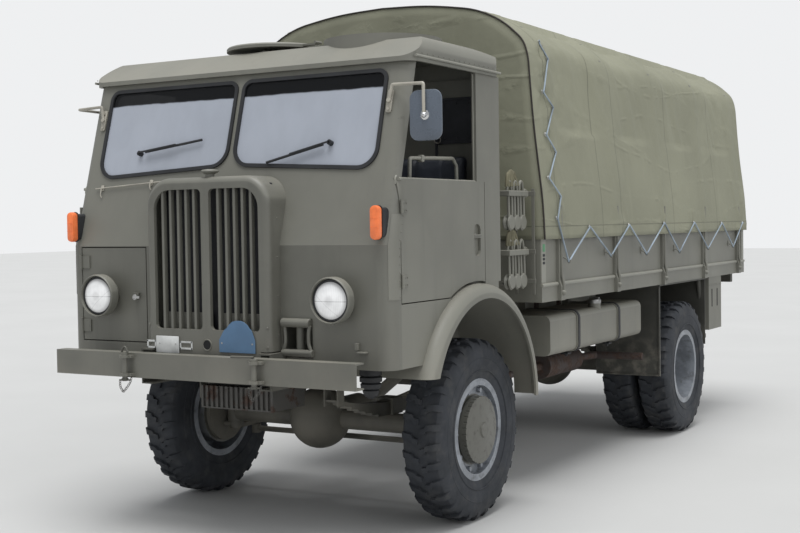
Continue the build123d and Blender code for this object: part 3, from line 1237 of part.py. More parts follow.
def cover_outline(plane, inset, low):
    """The cover's front outline on plane, moved in by inset, down to height low."""
    right = [(COVER_HALF, 0), *COVER_SECTION]
    left = [(-x, z) for x, z in reversed(right[:-1])]
    with BuildSketch(plane) as outline:
        with BuildLine():
            Polyline(*right, *left, close=True)
        make_face()
        if inset:
            offset(amount=-inset, kind=Kind.INTERSECTION, mode=Mode.REPLACE)
        with Locations((0, low)):
            Rectangle(3 * COVER_HALF, 2 * COVER_TOP, align=(Align.CENTER, Align.MAX), mode=Mode.SUBTRACT)
    return outline.sketch


with BuildPart() as bows:
    for y in POST_Y:
        bow_plane = Plane.XZ.offset(-(y - BOW_TUBE / 2))
        extrude(cover_outline(bow_plane, COVER_CLOTH + GAP, BOARD_TOP), amount=BOW_TUBE, dir=(0, 1, 0))
        extrude(cover_outline(bow_plane, COVER_CLOTH + GAP + BOW_TUBE, DECK_TOP), amount=BOW_TUBE,
                dir=(0, 1, 0), mode=Mode.SUBTRACT)
    for x, down in ((0, 38), (COVER_HALF / 2, 80), (-COVER_HALF / 2, 80)):
        with Locations((x, POST_Y[0], COVER_TOP - down)):
            Box(60, POST_Y[-1] - POST_Y[0], 20, align=(Align.CENTER, Align.MIN, Align.CENTER))
write(bows, "cover_bows")

with BuildPart() as cover:
    extrude(cover_outline(Plane.XZ.offset(-COVER_FRONT_Y), 0, COVER_HEM),
            amount=COVER_REAR_Y - COVER_FRONT_Y, dir=(0, 1, 0))
    extrude(cover_outline(Plane.XZ.offset(-(COVER_FRONT_Y + COVER_CLOTH)), COVER_CLOTH, DECK_TOP),
            amount=COVER_REAR_Y - COVER_FRONT_Y, dir=(0, 1, 0), mode=Mode.SUBTRACT)
    with BuildSketch(Plane.YZ.offset(-640)):
        with Locations((COVER_REAR_Y - 66, COVER_TOP - 124)):
            Circle(62)
    extrude(amount=1280)
write(cover, "cover")

# Fuel tank on the left between the axles, hung from the bed frame by two straps
TANK_Y = (FRONT_AXLE_Y + 930, FRONT_AXLE_Y + 2590)
TANK_Z = (835, 1090)
TANK_X = (640, 1050)
TANK_STRAPS = (FRONT_AXLE_Y + 1380, FRONT_AXLE_Y + 2120)
with BuildPart() as tank:
    with BuildSketch(Plane.XZ.offset(-TANK_Y[0])):
        with Locations((sum(TANK_X) / 2, sum(TANK_Z) / 2)):
            RectangleRounded(TANK_X[1] - TANK_X[0], TANK_Z[1] - TANK_Z[0], 45)
    extrude(amount=-(TANK_Y[1] - TANK_Y[0]))
    for y in TANK_STRAPS:
        with BuildSketch(Plane.XZ.offset(-(y - 25))):
            with Locations((sum(TANK_X) / 2, sum(TANK_Z) / 2)):
                RectangleRounded(TANK_X[1] - TANK_X[0] + 16, TANK_Z[1] - TANK_Z[0] + 16, 53)
            with Locations((TANK_X[0] - 4, TANK_Z[0] + 40)):
                Rectangle(50, SILL_BOTTOM - TANK_Z[0] - 40, align=(Align.MIN, Align.MIN))
            with Locations((RAIL_OUTER_X, TANK_Z[0] + 60)):
                Rectangle(TANK_X[0] - RAIL_OUTER_X, 80, align=(Align.MIN, Align.MIN))
        extrude(amount=-50)
    add(rod((1000, FRONT_AXLE_Y + 1800, 1060), (1000, FRONT_AXLE_Y + 1800, 1118), 42))
write(tank, "fuel_tank")

# Exhaust: silencer under the tank's rear and a tailpipe out ahead of the rear wheels
SILENCER_X = 560
SILENCER_Z = 655
with BuildPart() as exhaust:
    for y0, y1, radius in ((1850, 2450, 90), (800, 1850, 28)):
        add(rod((SILENCER_X, FRONT_AXLE_Y + y0, SILENCER_Z),
                (SILENCER_X, FRONT_AXLE_Y + y1, SILENCER_Z), radius))
    add(rod((240, FRONT_AXLE_Y + 640, 780), (SILENCER_X, FRONT_AXLE_Y + 810, SILENCER_Z), 28))
    add(rod((SILENCER_X, FRONT_AXLE_Y + 2440, SILENCER_Z), (640, FRONT_AXLE_Y + 2740, SILENCER_Z), 28))
    add(rod((620, FRONT_AXLE_Y + 2735, SILENCER_Z), (1000, FRONT_AXLE_Y + 2760, SILENCER_Z), 28))
    for y in (1950, 2350):
        with Locations((SILENCER_X - 60, FRONT_AXLE_Y + y, SILENCER_Z)):
            Box(20, 40, 1188 - SILENCER_Z, align=(Align.CENTER, Align.CENTER, Align.MIN))
        with Locations((RAIL_OUTER_X, FRONT_AXLE_Y + y, 900)):
            Box(SILENCER_X - 50 - RAIL_OUTER_X, 40, 20, align=(Align.MIN, Align.CENTER, Align.MIN))
write(exhaust, "exhaust")

# Rear mudguards with a flap behind, and a locker behind each
GUARD_X = (586, 1100)
GUARD_Y = (FRONT_AXLE_Y + 2872, FRONT_AXLE_Y + 4020)
GUARD_SHEET = 10
LOCKER_Y = (FRONT_AXLE_Y + 4160, FRONT_AXLE_Y + 4520)
with BuildPart() as guards:
    for s in (1, -1):
        with BuildSketch(Plane.YZ.offset(s * GUARD_X[0])):
            with BuildLine():
                Polyline((GUARD_Y[0], 497), (GUARD_Y[0], SILL_BOTTOM), (GUARD_Y[1], SILL_BOTTOM),
                         (GUARD_Y[1], 640), (GUARD_Y[1] - GUARD_SHEET, 640),
                         (GUARD_Y[1] - GUARD_SHEET, SILL_BOTTOM - GUARD_SHEET),
                         (GUARD_Y[0] + GUARD_SHEET, SILL_BOTTOM - GUARD_SHEET),
                         (GUARD_Y[0] + GUARD_SHEET, 497), close=True)
            make_face()
        extrude(amount=s * (GUARD_X[1] - GUARD_X[0]))
        with Locations((s * 925, sum(LOCKER_Y) / 2, 744)):
            Box(330, LOCKER_Y[1] - LOCKER_Y[0], SILL_BOTTOM - 744,
                align=(Align.CENTER, Align.CENTER, Align.MIN))
write(guards, "rear_guards")

with BuildPart() as rear_lamps:
    for s in (1, -1):
        with Locations((s * 900, BED_REAR_Y - 20, SILL_BOTTOM)):
            Box(170, 60, 90, align=(Align.CENTER, Align.CENTER, Align.MAX))
write(rear_lamps, "rear_lamps")

# Tool rack behind the cab: two plates on a bracket from the headboard, each with a bundle
RACK_Y = (FRONT_AXLE_Y + 360, FRONT_AXLE_Y + 540)
with BuildPart() as rack:
    for y in RACK_Y:
        with Locations((1000, y, 1270)):
            Box(130, 10, 480, align=(Align.CENTER, Align.CENTER, Align.MIN))
    for z in (1300, 1540):
        add(rod((960, RACK_Y[0], z), (960, BED_FRONT_Y, z), 14))
write(rack, "tool_rack")
with BuildPart() as bundles:
    for y in RACK_Y:
        with BuildSketch(Plane.XZ.offset(-(y - 45))):
            with Locations((1000, 1850)):
                RectangleRounded(120, 200, 40)
        extrude(amount=-90)
write(bundles, "rack_bundles")
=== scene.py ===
"""Military cargo truck: finishes, cloth cover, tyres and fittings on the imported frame."""

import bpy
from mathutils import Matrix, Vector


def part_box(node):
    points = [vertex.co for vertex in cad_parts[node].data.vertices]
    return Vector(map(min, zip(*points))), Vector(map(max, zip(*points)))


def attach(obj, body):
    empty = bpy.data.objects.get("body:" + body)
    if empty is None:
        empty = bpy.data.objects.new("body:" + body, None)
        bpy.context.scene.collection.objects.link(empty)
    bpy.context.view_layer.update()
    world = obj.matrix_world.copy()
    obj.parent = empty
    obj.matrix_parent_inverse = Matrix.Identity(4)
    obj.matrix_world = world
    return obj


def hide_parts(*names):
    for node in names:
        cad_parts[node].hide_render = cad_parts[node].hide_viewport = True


bl_info = {
    "name": "Military cargo truck",
    "version": (1, 0, 0),
    "blender": (4, 5, 0),
    "location": "View3D > Sidebar > Truck",
    "description": "Dresses the cargo truck's frame with its finishes, cloth and fittings",
    "category": "Object",
}

import math

import bpy
from mathutils import Matrix, Vector, noise

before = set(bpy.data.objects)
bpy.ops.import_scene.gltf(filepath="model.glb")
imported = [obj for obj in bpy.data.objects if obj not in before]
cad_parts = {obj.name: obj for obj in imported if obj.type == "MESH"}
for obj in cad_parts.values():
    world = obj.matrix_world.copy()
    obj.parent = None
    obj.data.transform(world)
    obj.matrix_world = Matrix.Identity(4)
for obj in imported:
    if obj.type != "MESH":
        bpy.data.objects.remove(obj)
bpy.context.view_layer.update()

# Places taken from the frame, in metres; the front faces -Y and the truck's left is +X
TYRE_LOW, TYRE_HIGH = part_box("tyre_front_left")
REAR_LOW, REAR_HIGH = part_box("tyres_rear_left")
COVER_LOW, COVER_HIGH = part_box("cover")
TYRE_R = (TYRE_HIGH.z - TYRE_LOW.z) / 2
TYRE_W = TYRE_HIGH.x - TYRE_LOW.x
FRONT_WHEEL = Vector(((TYRE_LOW.x + TYRE_HIGH.x) / 2, (TYRE_LOW.y + TYRE_HIGH.y) / 2, TYRE_R))
TWIN_X = ((REAR_LOW.x + TYRE_W / 2), (REAR_HIGH.x - TYRE_W / 2))
REAR_Y = (REAR_LOW.y + REAR_HIGH.y) / 2
AXLE_Y = FRONT_WHEEL.y
SLOPE = math.radians(15.5)
CAB_FRONT_Y = AXLE_Y - 1.040
CREASE_Z = 1.580
BOW_Y = [AXLE_Y + y for y in (0.980, 1.965, 2.965, 3.993, 5.009)]
# The photograph's width and the focal length fitted to it, in its pixels
PHOTO_WIDTH = 800
PHOTO_FOCAL = 1275.56

X_AXIS = Vector((1, 0, 0))
Y_AXIS = Vector((0, 1, 0))
Z_AXIS = Vector((0, 0, 1))


def slope_y(z):
    """Y of the cab's front wall at height z."""
    return CAB_FRONT_Y + max(0.0, z - CREASE_Z) * math.tan(SLOPE)


# Shader maths
def add_node(tree, kind, settings=None, inputs=None):
    """One node of a kind, with its settings first and then the values or links of its sockets."""
    node = tree.nodes.new(kind)
    for key, value in (settings or {}).items():
        if key == "stops":
            ramp = node.color_ramp
            while len(ramp.elements) < len(value):
                ramp.elements.new(0.5)
            for element, (place, colour) in zip(ramp.elements, value):
                element.position = place
                element.color = (*colour, 1) if len(colour) == 3 else colour
        else:
            setattr(node, key, value)
    for key, value in (inputs or {}).items():
        if isinstance(value, Wire):
            tree.links.new(value.socket, node.inputs[key])
        else:
            node.inputs[key].default_value = value
    return node


class Wire:
    """An output socket on which Python's operators add Math nodes."""

    def __init__(self, tree, socket):
        self.tree = tree
        self.socket = socket

    def math(self, operation, *values):
        node = add_node(self.tree, "ShaderNodeMath", {"operation": operation}, dict(enumerate(values)))
        return Wire(self.tree, node.outputs[0])

    def __add__(self, other):
        return self.math("ADD", self, other)

    def __radd__(self, other):
        return self.math("ADD", other, self)

    def __sub__(self, other):
        return self.math("SUBTRACT", self, other)

    def __rsub__(self, other):
        return self.math("SUBTRACT", other, self)

    def __mul__(self, other):
        return self.math("MULTIPLY", self, other)

    def __rmul__(self, other):
        return self.math("MULTIPLY", other, self)

    def magnitude(self):
        return self.math("ABSOLUTE", self)

    def root(self):
        return self.math("SQRT", self)

    def clamped(self):
        node = add_node(self.tree, "ShaderNodeClamp", {}, {0: self})
        return Wire(self.tree, node.outputs[0])

    def step(self, low, high):
        """0 below low, 1 above high, smooth between."""
        node = add_node(self.tree, "ShaderNodeMapRange", {"interpolation_type": "SMOOTHSTEP"},
                        {"Value": self, "From Min": low, "From Max": high})
        return Wire(self.tree, node.outputs[0])


class Finish:
    """A procedural material with one Principled shader."""

    def __init__(self, name, **constants):
        self.material = bpy.data.materials.new(name)
        self.material.use_nodes = True
        self.tree = self.material.node_tree
        self.tree.nodes.clear()
        self.shader = add_node(self.tree, "ShaderNodeBsdfPrincipled", {}, constants)
        output = add_node(self.tree, "ShaderNodeOutputMaterial")
        self.tree.links.new(self.shader.outputs[0], output.inputs[0])
        coordinates = add_node(self.tree, "ShaderNodeTexCoord")
        self.place = Wire(self.tree, coordinates.outputs["Object"])
        self.uv = Wire(self.tree, coordinates.outputs["UV"])
        split = add_node(self.tree, "ShaderNodeSeparateXYZ", {}, {0: self.place})
        self.x, self.y, self.z = (Wire(self.tree, socket) for socket in split.outputs)
        geometry = add_node(self.tree, "ShaderNodeNewGeometry")
        normal = Wire(self.tree, geometry.outputs["Normal"])
        facing = add_node(self.tree, "ShaderNodeSeparateXYZ", {}, {0: normal})
        self.up = Wire(self.tree, facing.outputs[2])

    def wire(self, kind, settings=None, inputs=None, output=0):
        return Wire(self.tree, add_node(self.tree, kind, settings, inputs).outputs[output])

    def noise(self, scale, detail=3.0, roughness=0.55, vector=None, stretch=None):
        vector = vector or self.place
        if stretch:
            vector = self.wire("ShaderNodeMapping", {}, {0: vector, "Scale": stretch})
        inputs = {"Vector": vector, "Scale": scale, "Detail": detail, "Roughness": roughness}
        return self.wire("ShaderNodeTexNoise", {}, inputs)

    def mix(self, factor, first, second):
        """A colour between two colours."""
        first = (*first, 1) if isinstance(first, tuple) and len(first) == 3 else first
        second = (*second, 1) if isinstance(second, tuple) and len(second) == 3 else second
        return self.wire("ShaderNodeMix", {"data_type": "RGBA"}, {0: factor, 6: first, 7: second}, 2)

    def set(self, name, value):
        if isinstance(value, Wire):
            self.tree.links.new(value.socket, self.shader.inputs[name])
        else:
            self.shader.inputs[name].default_value = value

    def bump(self, height, strength, distance, before=None):
        inputs = {"Height": height, "Strength": strength, "Distance": distance}
        if before:
            inputs["Normal"] = before
        return self.wire("ShaderNodeBump", {}, inputs)


def shade(colour, factor):
    """A colour made lighter or darker."""
    return tuple(min(1.0, c * factor) for c in colour)


DUST = (0.36, 0.33, 0.27)


def paint_finish(name, colour, dust=0.5, chips=0.35, rough=0.5):
    """Brushed and sprayed vehicle paint with patchy fading, streaks, dust near the ground and chips, and
    painted sheen that lightens the faces turned upwards.
    """
    f = Finish(name, Metallic=0.0)
    broad = f.noise(1.4, 2.0)
    patch = f.noise(7.0, 4.0)
    fine = f.noise(160.0, 2.0)
    streak = f.noise(2.2, 3.0, stretch=(7.0, 7.0, 0.5))
    tint = f.mix(broad.step(0.32, 0.68), shade(colour, 0.90), shade(colour, 1.10))
    tint = f.mix(patch.step(0.40, 0.75) * 0.35, tint, shade(colour, 1.22))
    tint = f.mix(streak.step(0.52, 0.75) * 0.30, tint, shade(colour, 0.72))
    # Painted sheen: faces turned upwards are lightened as if they caught the sky
    tint = f.mix(f.up.step(0.12, 0.27) * 0.45, tint, shade(colour, 1.55))
    low = 1.0 - f.z.step(0.35, 1.25)
    dusty = (low * dust + f.up.step(0.5, 0.95) * 0.22) * f.noise(3.0, 5.0).step(0.25, 0.7)
    tint = f.mix(dusty.clamped(), tint, DUST)
    chip = f.noise(38.0, 4.0, 0.7).step(0.685, 0.71) * f.noise(2.6, 2.0).step(0.45, 0.62) * chips
    tint = f.mix(chip, tint, (0.045, 0.035, 0.028))
    f.set("Base Color", tint)
    f.set("Roughness", rough + (patch - 0.5) * 0.25 + dusty * 0.25)
    height = fine * 0.25 + f.noise(22.0, 3.0) * 0.6 - chip * 0.5
    f.set("Normal", f.bump(height, 0.22, 0.002))
    return f.material


def tyre_finish():
    """Black rubber, greyer on the worn tread and dusty on the walls."""
    f = Finish("rubber_tyre", Metallic=0.0)
    base = f.mix(f.noise(5.0, 4.0).step(0.3, 0.7), (0.020, 0.023, 0.028), (0.036, 0.040, 0.048))
    dust = f.noise(9.0, 5.0, 0.65).step(0.45, 0.8) * 0.35
    f.set("Base Color", f.mix(dust, base, (0.12, 0.115, 0.105)))
    f.set("Roughness", 0.62 + f.noise(30.0, 3.0) * 0.3)
    f.set("Normal", f.bump(f.noise(240.0, 3.0) * 0.5 + f.noise(40.0, 3.0), 0.25, 0.0015))
    return f.material


def plain_finish(name, colour, rough, metal=0.0, grain=60.0, depth=0.0006, spread=0.25):
    """A moulded, cast or rubber surface with a fine uneven grain."""
    f = Finish(name, Metallic=metal)
    tone = f.noise(6.0, 4.0).step(0.3, 0.7)
    f.set("Base Color", f.mix(tone, shade(colour, 1 - spread), shade(colour, 1 + spread)))
    f.set("Roughness", rough + (f.noise(grain / 3, 3.0) - 0.5) * 0.2)
    f.set("Normal", f.bump(f.noise(grain, 3.0), 0.35, depth))
    return f.material


def guard_finish(body):
    """Nearly black mudguards whose lockers behind them have the body's paint."""
    f = Finish("guard_paint", Metallic=0.0)
    locker = f.y.step(AXLE_Y + 4.150, AXLE_Y + 4.156)
    patch = f.noise(4.0, 5.0)
    dark = f.mix(patch.step(0.35, 0.75), shade(body, 0.26), shade(body, 0.40))
    light = f.mix(patch.step(0.35, 0.75), shade(body, 0.95), shade(body, 1.10))
    splash = (1.0 - f.z.step(0.45, 1.00)) * f.noise(14.0, 5.0).step(0.4, 0.75) * 0.4
    f.set("Base Color", f.mix(splash, f.mix(locker, dark, light), DUST))
    f.set("Roughness", 0.50 + patch * 0.15)
    f.set("Normal", f.bump(f.noise(30.0, 4.0), 0.2, 0.002))
    return f.material


def wheel_finish(name, y, rim, hub, hub_radius):
    """Wheel paint that is silvery on the rim and the body's colour on the hub, with scuffs and dust."""
    f = Finish(name, Metallic=0.0)
    dy = f.y - y
    dz = f.z - TYRE_R
    reach = (dy * dy + dz * dz).root()
    patch = f.noise(9.0, 5.0)
    scuff = f.noise(40.0, 4.0, 0.7).step(0.55, 0.72) * reach.step(0.22, 0.27)
    tint = f.mix(patch.step(0.3, 0.7), shade(rim, 0.70), shade(rim, 1.15))
    tint = f.mix(reach.step(hub_radius, hub_radius + 0.006), hub, tint)
    tint = f.mix(scuff * 0.5, tint, (0.42, 0.43, 0.44))
    grime = f.noise(22.0, 5.0, 0.65).step(0.50, 0.75) * 0.6
    tint = f.mix(grime, tint, (0.060, 0.055, 0.050))
    f.set("Base Color", tint)
    f.set("Roughness", 0.34 + grime * 0.4)
    f.set("Normal", f.bump(f.noise(70.0, 4.0), 0.25, 0.0015))
    return f.material


def rust_finish(name, colour, rust_share=0.5):
    """Painted steel that rust has broken through."""
    f = Finish(name, Metallic=0.0)
    spots = f.noise(9.0, 6.0, 0.7)
    rust = spots.step(0.62 - rust_share * 0.3, 0.70 - rust_share * 0.25)
    brown = f.mix(f.noise(45.0, 4.0).step(0.3, 0.7), (0.048, 0.030, 0.024), (0.095, 0.058, 0.043))
    f.set("Base Color", f.mix(rust, colour, brown))
    f.set("Roughness", 0.55 + rust * 0.3)
    f.set("Normal", f.bump(f.noise(70.0, 4.0) * (0.3 + rust), 0.5, 0.002))
    return f.material


def cloth_finish(name, colour, weave=900.0):
    """Coated canvas with a plain weave, bleached patches, dirt and a painted highlight on its crease ridges,
    drawn on its own UV map in metres.
    """
    f = Finish(name, Metallic=0.0)
    wave = {"wave_type": "BANDS"}
    warp = f.wire("ShaderNodeTexWave", {**wave, "bands_direction": "X"}, {"Vector": f.uv, "Scale": weave})
    weft = f.wire("ShaderNodeTexWave", {**wave, "bands_direction": "Y"}, {"Vector": f.uv, "Scale": weave})
    broad = f.noise(0.9, 3.0)
    patch = f.noise(5.0, 5.0, 0.6)
    streak = f.noise(2.0, 4.0, stretch=(5.0, 5.0, 0.6))
    tint = f.mix(broad.step(0.3, 0.7), shade(colour, 0.92), shade(colour, 1.08))
    tint = f.mix(patch.step(0.5, 0.8) * 0.35, tint, shade(colour, 0.80))
    tint = f.mix(streak.step(0.52, 0.8) * 0.35, tint, shade(colour, 1.16))
    tint = f.mix(f.noise(60.0, 3.0).step(0.62, 0.8) * 0.25, tint, shade(colour, 0.7))
    ridges = []
    for degrees, stretch, scale in ((38, (0.6, 0.7, 3.4), 0.9), (-52, (0.6, 0.6, 3.0), 0.8)):
        turn = {0: f.place, "Rotation": (math.radians(degrees), 0, 0), "Scale": stretch}
        field = (f.noise(scale, 0.6, 0.5, f.wire("ShaderNodeMapping", {}, turn)) - 0.5).magnitude()
        ridges.append(1.0 - field.step(0.0, 0.030))
    crease = (ridges[0] * 0.8 + ridges[1] * 0.7) * patch.step(0.42, 0.60)
    seams = None
    for y in CLOTH_SEAMS:
        line = 1.0 - (f.y - (AXLE_Y + y)).magnitude().step(0.0025, 0.0065)
        seams = line if seams is None else seams + line
    hem = (1.0 - (f.z - (HEM_Z + 0.078)).magnitude().step(0.002, 0.005)) * f.x.magnitude().step(0.95, 1.0)
    seams = (seams + hem).clamped()
    tint = f.mix(seams * 0.65, tint, shade(colour, 0.45))
    # Painted highlight: the crease ridges are lightened as if they caught the light
    tint = f.mix(ridges[0] * 0.05 + ridges[1] * 0.05, tint, shade(colour, 1.5))
    f.set("Base Color", f.mix((warp + weft) * 0.06, tint, shade(colour, 0.6)))
    f.set("Roughness", 0.62 + patch * 0.16)
    creases = f.bump(crease + f.noise(7.0, 2.0, 0.5) * 1.2 - seams * 0.4, 0.40, 0.011)
    f.set("Normal", f.bump(warp + weft, 0.18, 0.0006, creases))
    return f.material


def wood_finish(name, colour):
    """Weathered deck planks with their grain along Y."""
    f = Finish(name, Metallic=0.0)
    grain = f.noise(30.0, 5.0, 0.65, stretch=(6.0, 0.35, 6.0))
    joint = f.wire("ShaderNodeMath", {"operation": "PINGPONG"}, {0: f.x, 1: 0.07})
    gap = 1.0 - joint.step(0.001, 0.004)
    tint = f.mix(grain.step(0.3, 0.7), shade(colour, 0.7), shade(colour, 1.25))
    f.set("Base Color", f.mix(gap * 0.8, tint, (0.02, 0.018, 0.015)))
    f.set("Roughness", 0.75)
    f.set("Normal", f.bump(grain - gap, 0.5, 0.003))
    return f.material


def glass_finish(name, colour, low, high, see_low, see_high):
    """Window glass with its tint below a height and nearly black above it: the black is painted shade, and a
    pale tint is a painted reflection.
    """
    f = Finish(name, Metallic=0.0, Roughness=0.04, IOR=1.3)
    smear = f.noise(6.0, 4.0, stretch=(1.0, 1.0, 0.5))
    lighter_below = 1.0 - (f.z + (smear - 0.5) * 0.02).step(low, high)
    alpha = see_high + lighter_below * (see_low - see_high) + (smear - 0.5) * 0.06
    tint = f.mix(smear.step(0.3, 0.7), shade(colour, 0.94), colour)
    # Painted light: below the height the tint, a painted reflection where it is pale; above it nearly black
    # painted shade
    f.set("Base Color", f.mix(lighter_below, shade(colour, 0.015), tint))
    f.set("Alpha", alpha.clamped())
    f.material.surface_render_method = "BLENDED"
    return f.material


def lens_finish(name, colour, glow=0.0, flutes=0.0):
    """Moulded lamp glass, with upright flutes, a seam across its middle and painted shade towards its edge
    and over its upper part where flutes are asked for.
    """
    f = Finish(name, Metallic=0.0, Roughness=0.12, IOR=1.5)
    tone = f.noise(18.0, 2.0)
    tint = f.mix(tone.step(0.3, 0.7), shade(colour, 0.85), shade(colour, 1.08))
    height = f.noise(90.0, 1.0)
    if flutes:
        wave = f.wire("ShaderNodeTexWave", {"wave_type": "BANDS", "bands_direction": "X"},
                      {"Vector": f.place, "Scale": flutes})
        dx = f.x.magnitude() - LAMP.x
        dz = f.z - LAMP.z
        reach = (dx * dx + dz * dz).root()
        seam = 1.0 - (dz + 0.004).magnitude().step(0.0012, 0.0030)
        slant = 1.0 - (dz + dx * 0.8 + 0.040).magnitude().step(0.001, 0.004)
        bulb = 1.0 - reach.step(0.012, 0.034)
        tint = f.mix(wave * 0.25, tint, shade(colour, 0.60))
        # Painted shade: the lens darkens towards its edge under the rim and over its upper part, besides the
        # darker seam, slanted line and bulb
        dark = reach.step(0.070, 0.094) * 0.60 + seam * 0.45 + slant * 0.20
        dark = dark + dz.step(0.028, 0.090) * 0.25 + bulb * 0.25
        tint = f.mix(dark.clamped(), tint, shade(colour, 0.22))
        height = wave
    f.set("Base Color", tint)
    f.set("Normal", f.bump(height, 0.30 if flutes else 0.12, 0.001))
    if glow:
        f.set("Emission Color", (*colour, 1))
        f.set("Emission Strength", glow)
    return f.material


CLOTH_SEAMS = (0.93, 1.69, 2.05, 3.19, 4.34)  # behind the front axle
BODY_COLOUR = (0.180, 0.178, 0.152)
CLOTH_COLOUR = (0.262, 0.262, 0.190)
FINISHES = {}


def make_finishes():
    """Every material, keyed by a plain word."""
    look = bpy.context.scene.truck_look
    body = tuple(look.body_colour)
    cloth = tuple(look.cloth_colour)
    FINISHES.update({
        "paint": paint_finish("body_paint", body),
        # A darker copy of the body paint for the front wall and for parts under or behind things: painted
        # shade
        "paint_shaded": paint_finish("front_paint_shaded", shade(body, 0.80), rough=0.45),
        "chassis": paint_finish("chassis_paint", shade(body, 0.42), dust=0.35, rough=0.6),
        "rim_front": wheel_finish("front_wheel_paint", AXLE_Y, (0.25, 0.27, 0.30), shade(body, 0.62), 0.197),
        "rim_rear": wheel_finish("rear_wheel_paint", REAR_Y, (0.26, 0.28, 0.31), shade(body, 0.80), 0.150),
        "tyre": tyre_finish(),
        "rubber": plain_finish("soft_rubber", (0.018, 0.019, 0.021), 0.55),
        "black": plain_finish("black_plastic", (0.022, 0.023, 0.026), 0.45),
        "cast": rust_finish("cast_iron", (0.085, 0.082, 0.075), 0.35),
        "rust": rust_finish("rusty_steel", (0.060, 0.046, 0.042), 0.5),
        "radiator": plain_finish("radiator_core", (0.010, 0.011, 0.014), 0.6, grain=140.0),
        "bare": plain_finish("bare_steel", (0.42, 0.42, 0.41), 0.35, metal=0.8),
        "chrome": plain_finish("bright_steel", (0.62, 0.62, 0.62), 0.16, metal=1.0, spread=0.08),
        "mirror": plain_finish("mirror_glass", (0.75, 0.78, 0.80), 0.04, metal=1.0, depth=0.0, spread=0.02),
        "cloth": cloth_finish("cover_cloth", cloth),
        "seat_cloth": plain_finish("seat_leather", (0.035, 0.040, 0.052), 0.5, grain=110.0),
        "wood": wood_finish("deck_wood", (0.20, 0.155, 0.105)),
        "leather": plain_finish("strap_leather", (0.030, 0.024, 0.020), 0.6, grain=90.0),
        "rope": plain_finish("pale_rope", (0.150, 0.140, 0.090), 0.85, grain=500.0, depth=0.001),
        "cord": plain_finish("lacing_cord", (0.30, 0.36, 0.42), 0.8, grain=500.0, depth=0.001),
        # The pale bluish tint is a painted sky reflection, and the black band above it painted shade
        "glass": glass_finish("window_glass", (0.42, 0.45, 0.51), 2.374, 2.385, 0.90, 0.90),
        "lamp_glass": lens_finish("lamp_glass", (1.0, 1.0, 1.0), glow=0.10, flutes=32.0),
        "amber": lens_finish("amber_lens", (0.95, 0.22, 0.07), glow=0.04),
        "red": lens_finish("red_lens", (0.45, 0.02, 0.015)),
        "blue_plate": plain_finish("blank_plate_blue", (0.085, 0.170, 0.290), 0.40, grain=20.0, spread=0.1),
        "pale_plate": plain_finish("blank_plate_pale", (0.62, 0.63, 0.62), 0.4, grain=20.0),
        "green": plain_finish("blank_mark_green", (0.10, 0.27, 0.14), 0.5, grain=20.0),
        # A lighter copy of the body paint for beads, strips, ribs and rails: painted highlight, with more
        # chips for wear
        "paint_highlit": paint_finish("edge_paint_highlit", shade(body, 1.30), dust=0.3, chips=0.5, rough=0.42),
        "pale_metal": plain_finish("painted_rod", (0.36, 0.34, 0.29), 0.4),
        # A grey case of its own, tinted blue as a painted sky sheen
        "mirror_back": plain_finish("mirror_case", (0.105, 0.125, 0.155), 0.28, spread=0.12),
        # Nearly black: painted shade in holes and slots
        "hollow": plain_finish("hollow_painted_shade", (0.008, 0.008, 0.009), 0.8),
        "cab_inside": plain_finish("cab_inside_paint", (0.040, 0.042, 0.048), 0.6, grain=30.0),
        # Dark tint, darker towards the top: painted shade seen through the rear window
        "dark_glass": glass_finish("rear_window_painted_shade", (0.10, 0.11, 0.12), 1.90, 2.40, 0.75, 0.55),
        "guard": guard_finish(body),
    })


NODE_FINISH = {
    "paint": ("cab_sides", "cab_rear", "door_left", "door_right", "cab_roof", "roof_lid", "fenders",
              "mirrors", "bed_boards", "board_posts", "tailgate", "fuel_tank", "tool_rack", "bed_frame",
              "headlight_left", "headlight_right"),
    "guard": ("rear_guards",),
    # Painted shade: these take the darker copy of the body paint
    "paint_shaded": ("cab_front", "front_hatch", "grille_housing", "bumper", "front_step", "cab_floor",
                   "cover_bows"),
    "chassis": ("frame", "leaf_springs", "front_axle", "rear_axle", "knuckle_left", "knuckle_right",
                "tie_rod", "drivetrain", "rear_lamps"),
    "cast": ("engine_block",),
    "rust": ("exhaust",),
    "rim_front": ("rim_front_left", "rim_front_right"),
    "rim_rear": ("rims_rear_left", "rims_rear_right"),
    "tyre": ("tyre_front_left", "tyre_front_right", "tyres_rear_left", "tyres_rear_right"),
    "rubber": ("windscreen_seals", "drain_bellows", "wipers"),
    "black": ("dashboard", "steering_wheel", "steering_column"),
    "glass": ("windscreen_glass",),
    "amber": ("turn_signals",),
    "cloth": ("cover", "rack_bundles"),
    "seat_cloth": ("seats",),
    "wood": ("bed_floor",),
}


# Modelling helpers
def deselect():
    bpy.ops.object.select_all(action="DESELECT")


def edit_all():
    bpy.ops.object.mode_set(mode="EDIT")
    bpy.ops.mesh.select_mode(type="VERT")
    bpy.ops.mesh.select_all(action="SELECT")


def leave_edit():
    bpy.ops.object.mode_set(mode="OBJECT")


def edit_keep():
    """Edit mode with the selection that was made in object mode."""
    bpy.ops.object.mode_set(mode="EDIT")


def activate(piece):
    """Makes the piece the active object and the only selected one."""
    deselect()
    piece.select_set(True)
    bpy.context.view_layer.objects.active = piece
    return piece


def rename(piece, name):
    """Names an object and its mesh."""
    piece.name = name
    piece.data.name = name
    return piece


def link(piece):
    """Puts a new object into the scene."""
    bpy.context.collection.objects.link(piece)
    return piece


def settle(piece, name):
    """Names the piece and puts its place into its mesh."""
    activate(piece)
    bpy.ops.object.transform_apply(location=True, rotation=True, scale=True)
    return rename(piece, name)


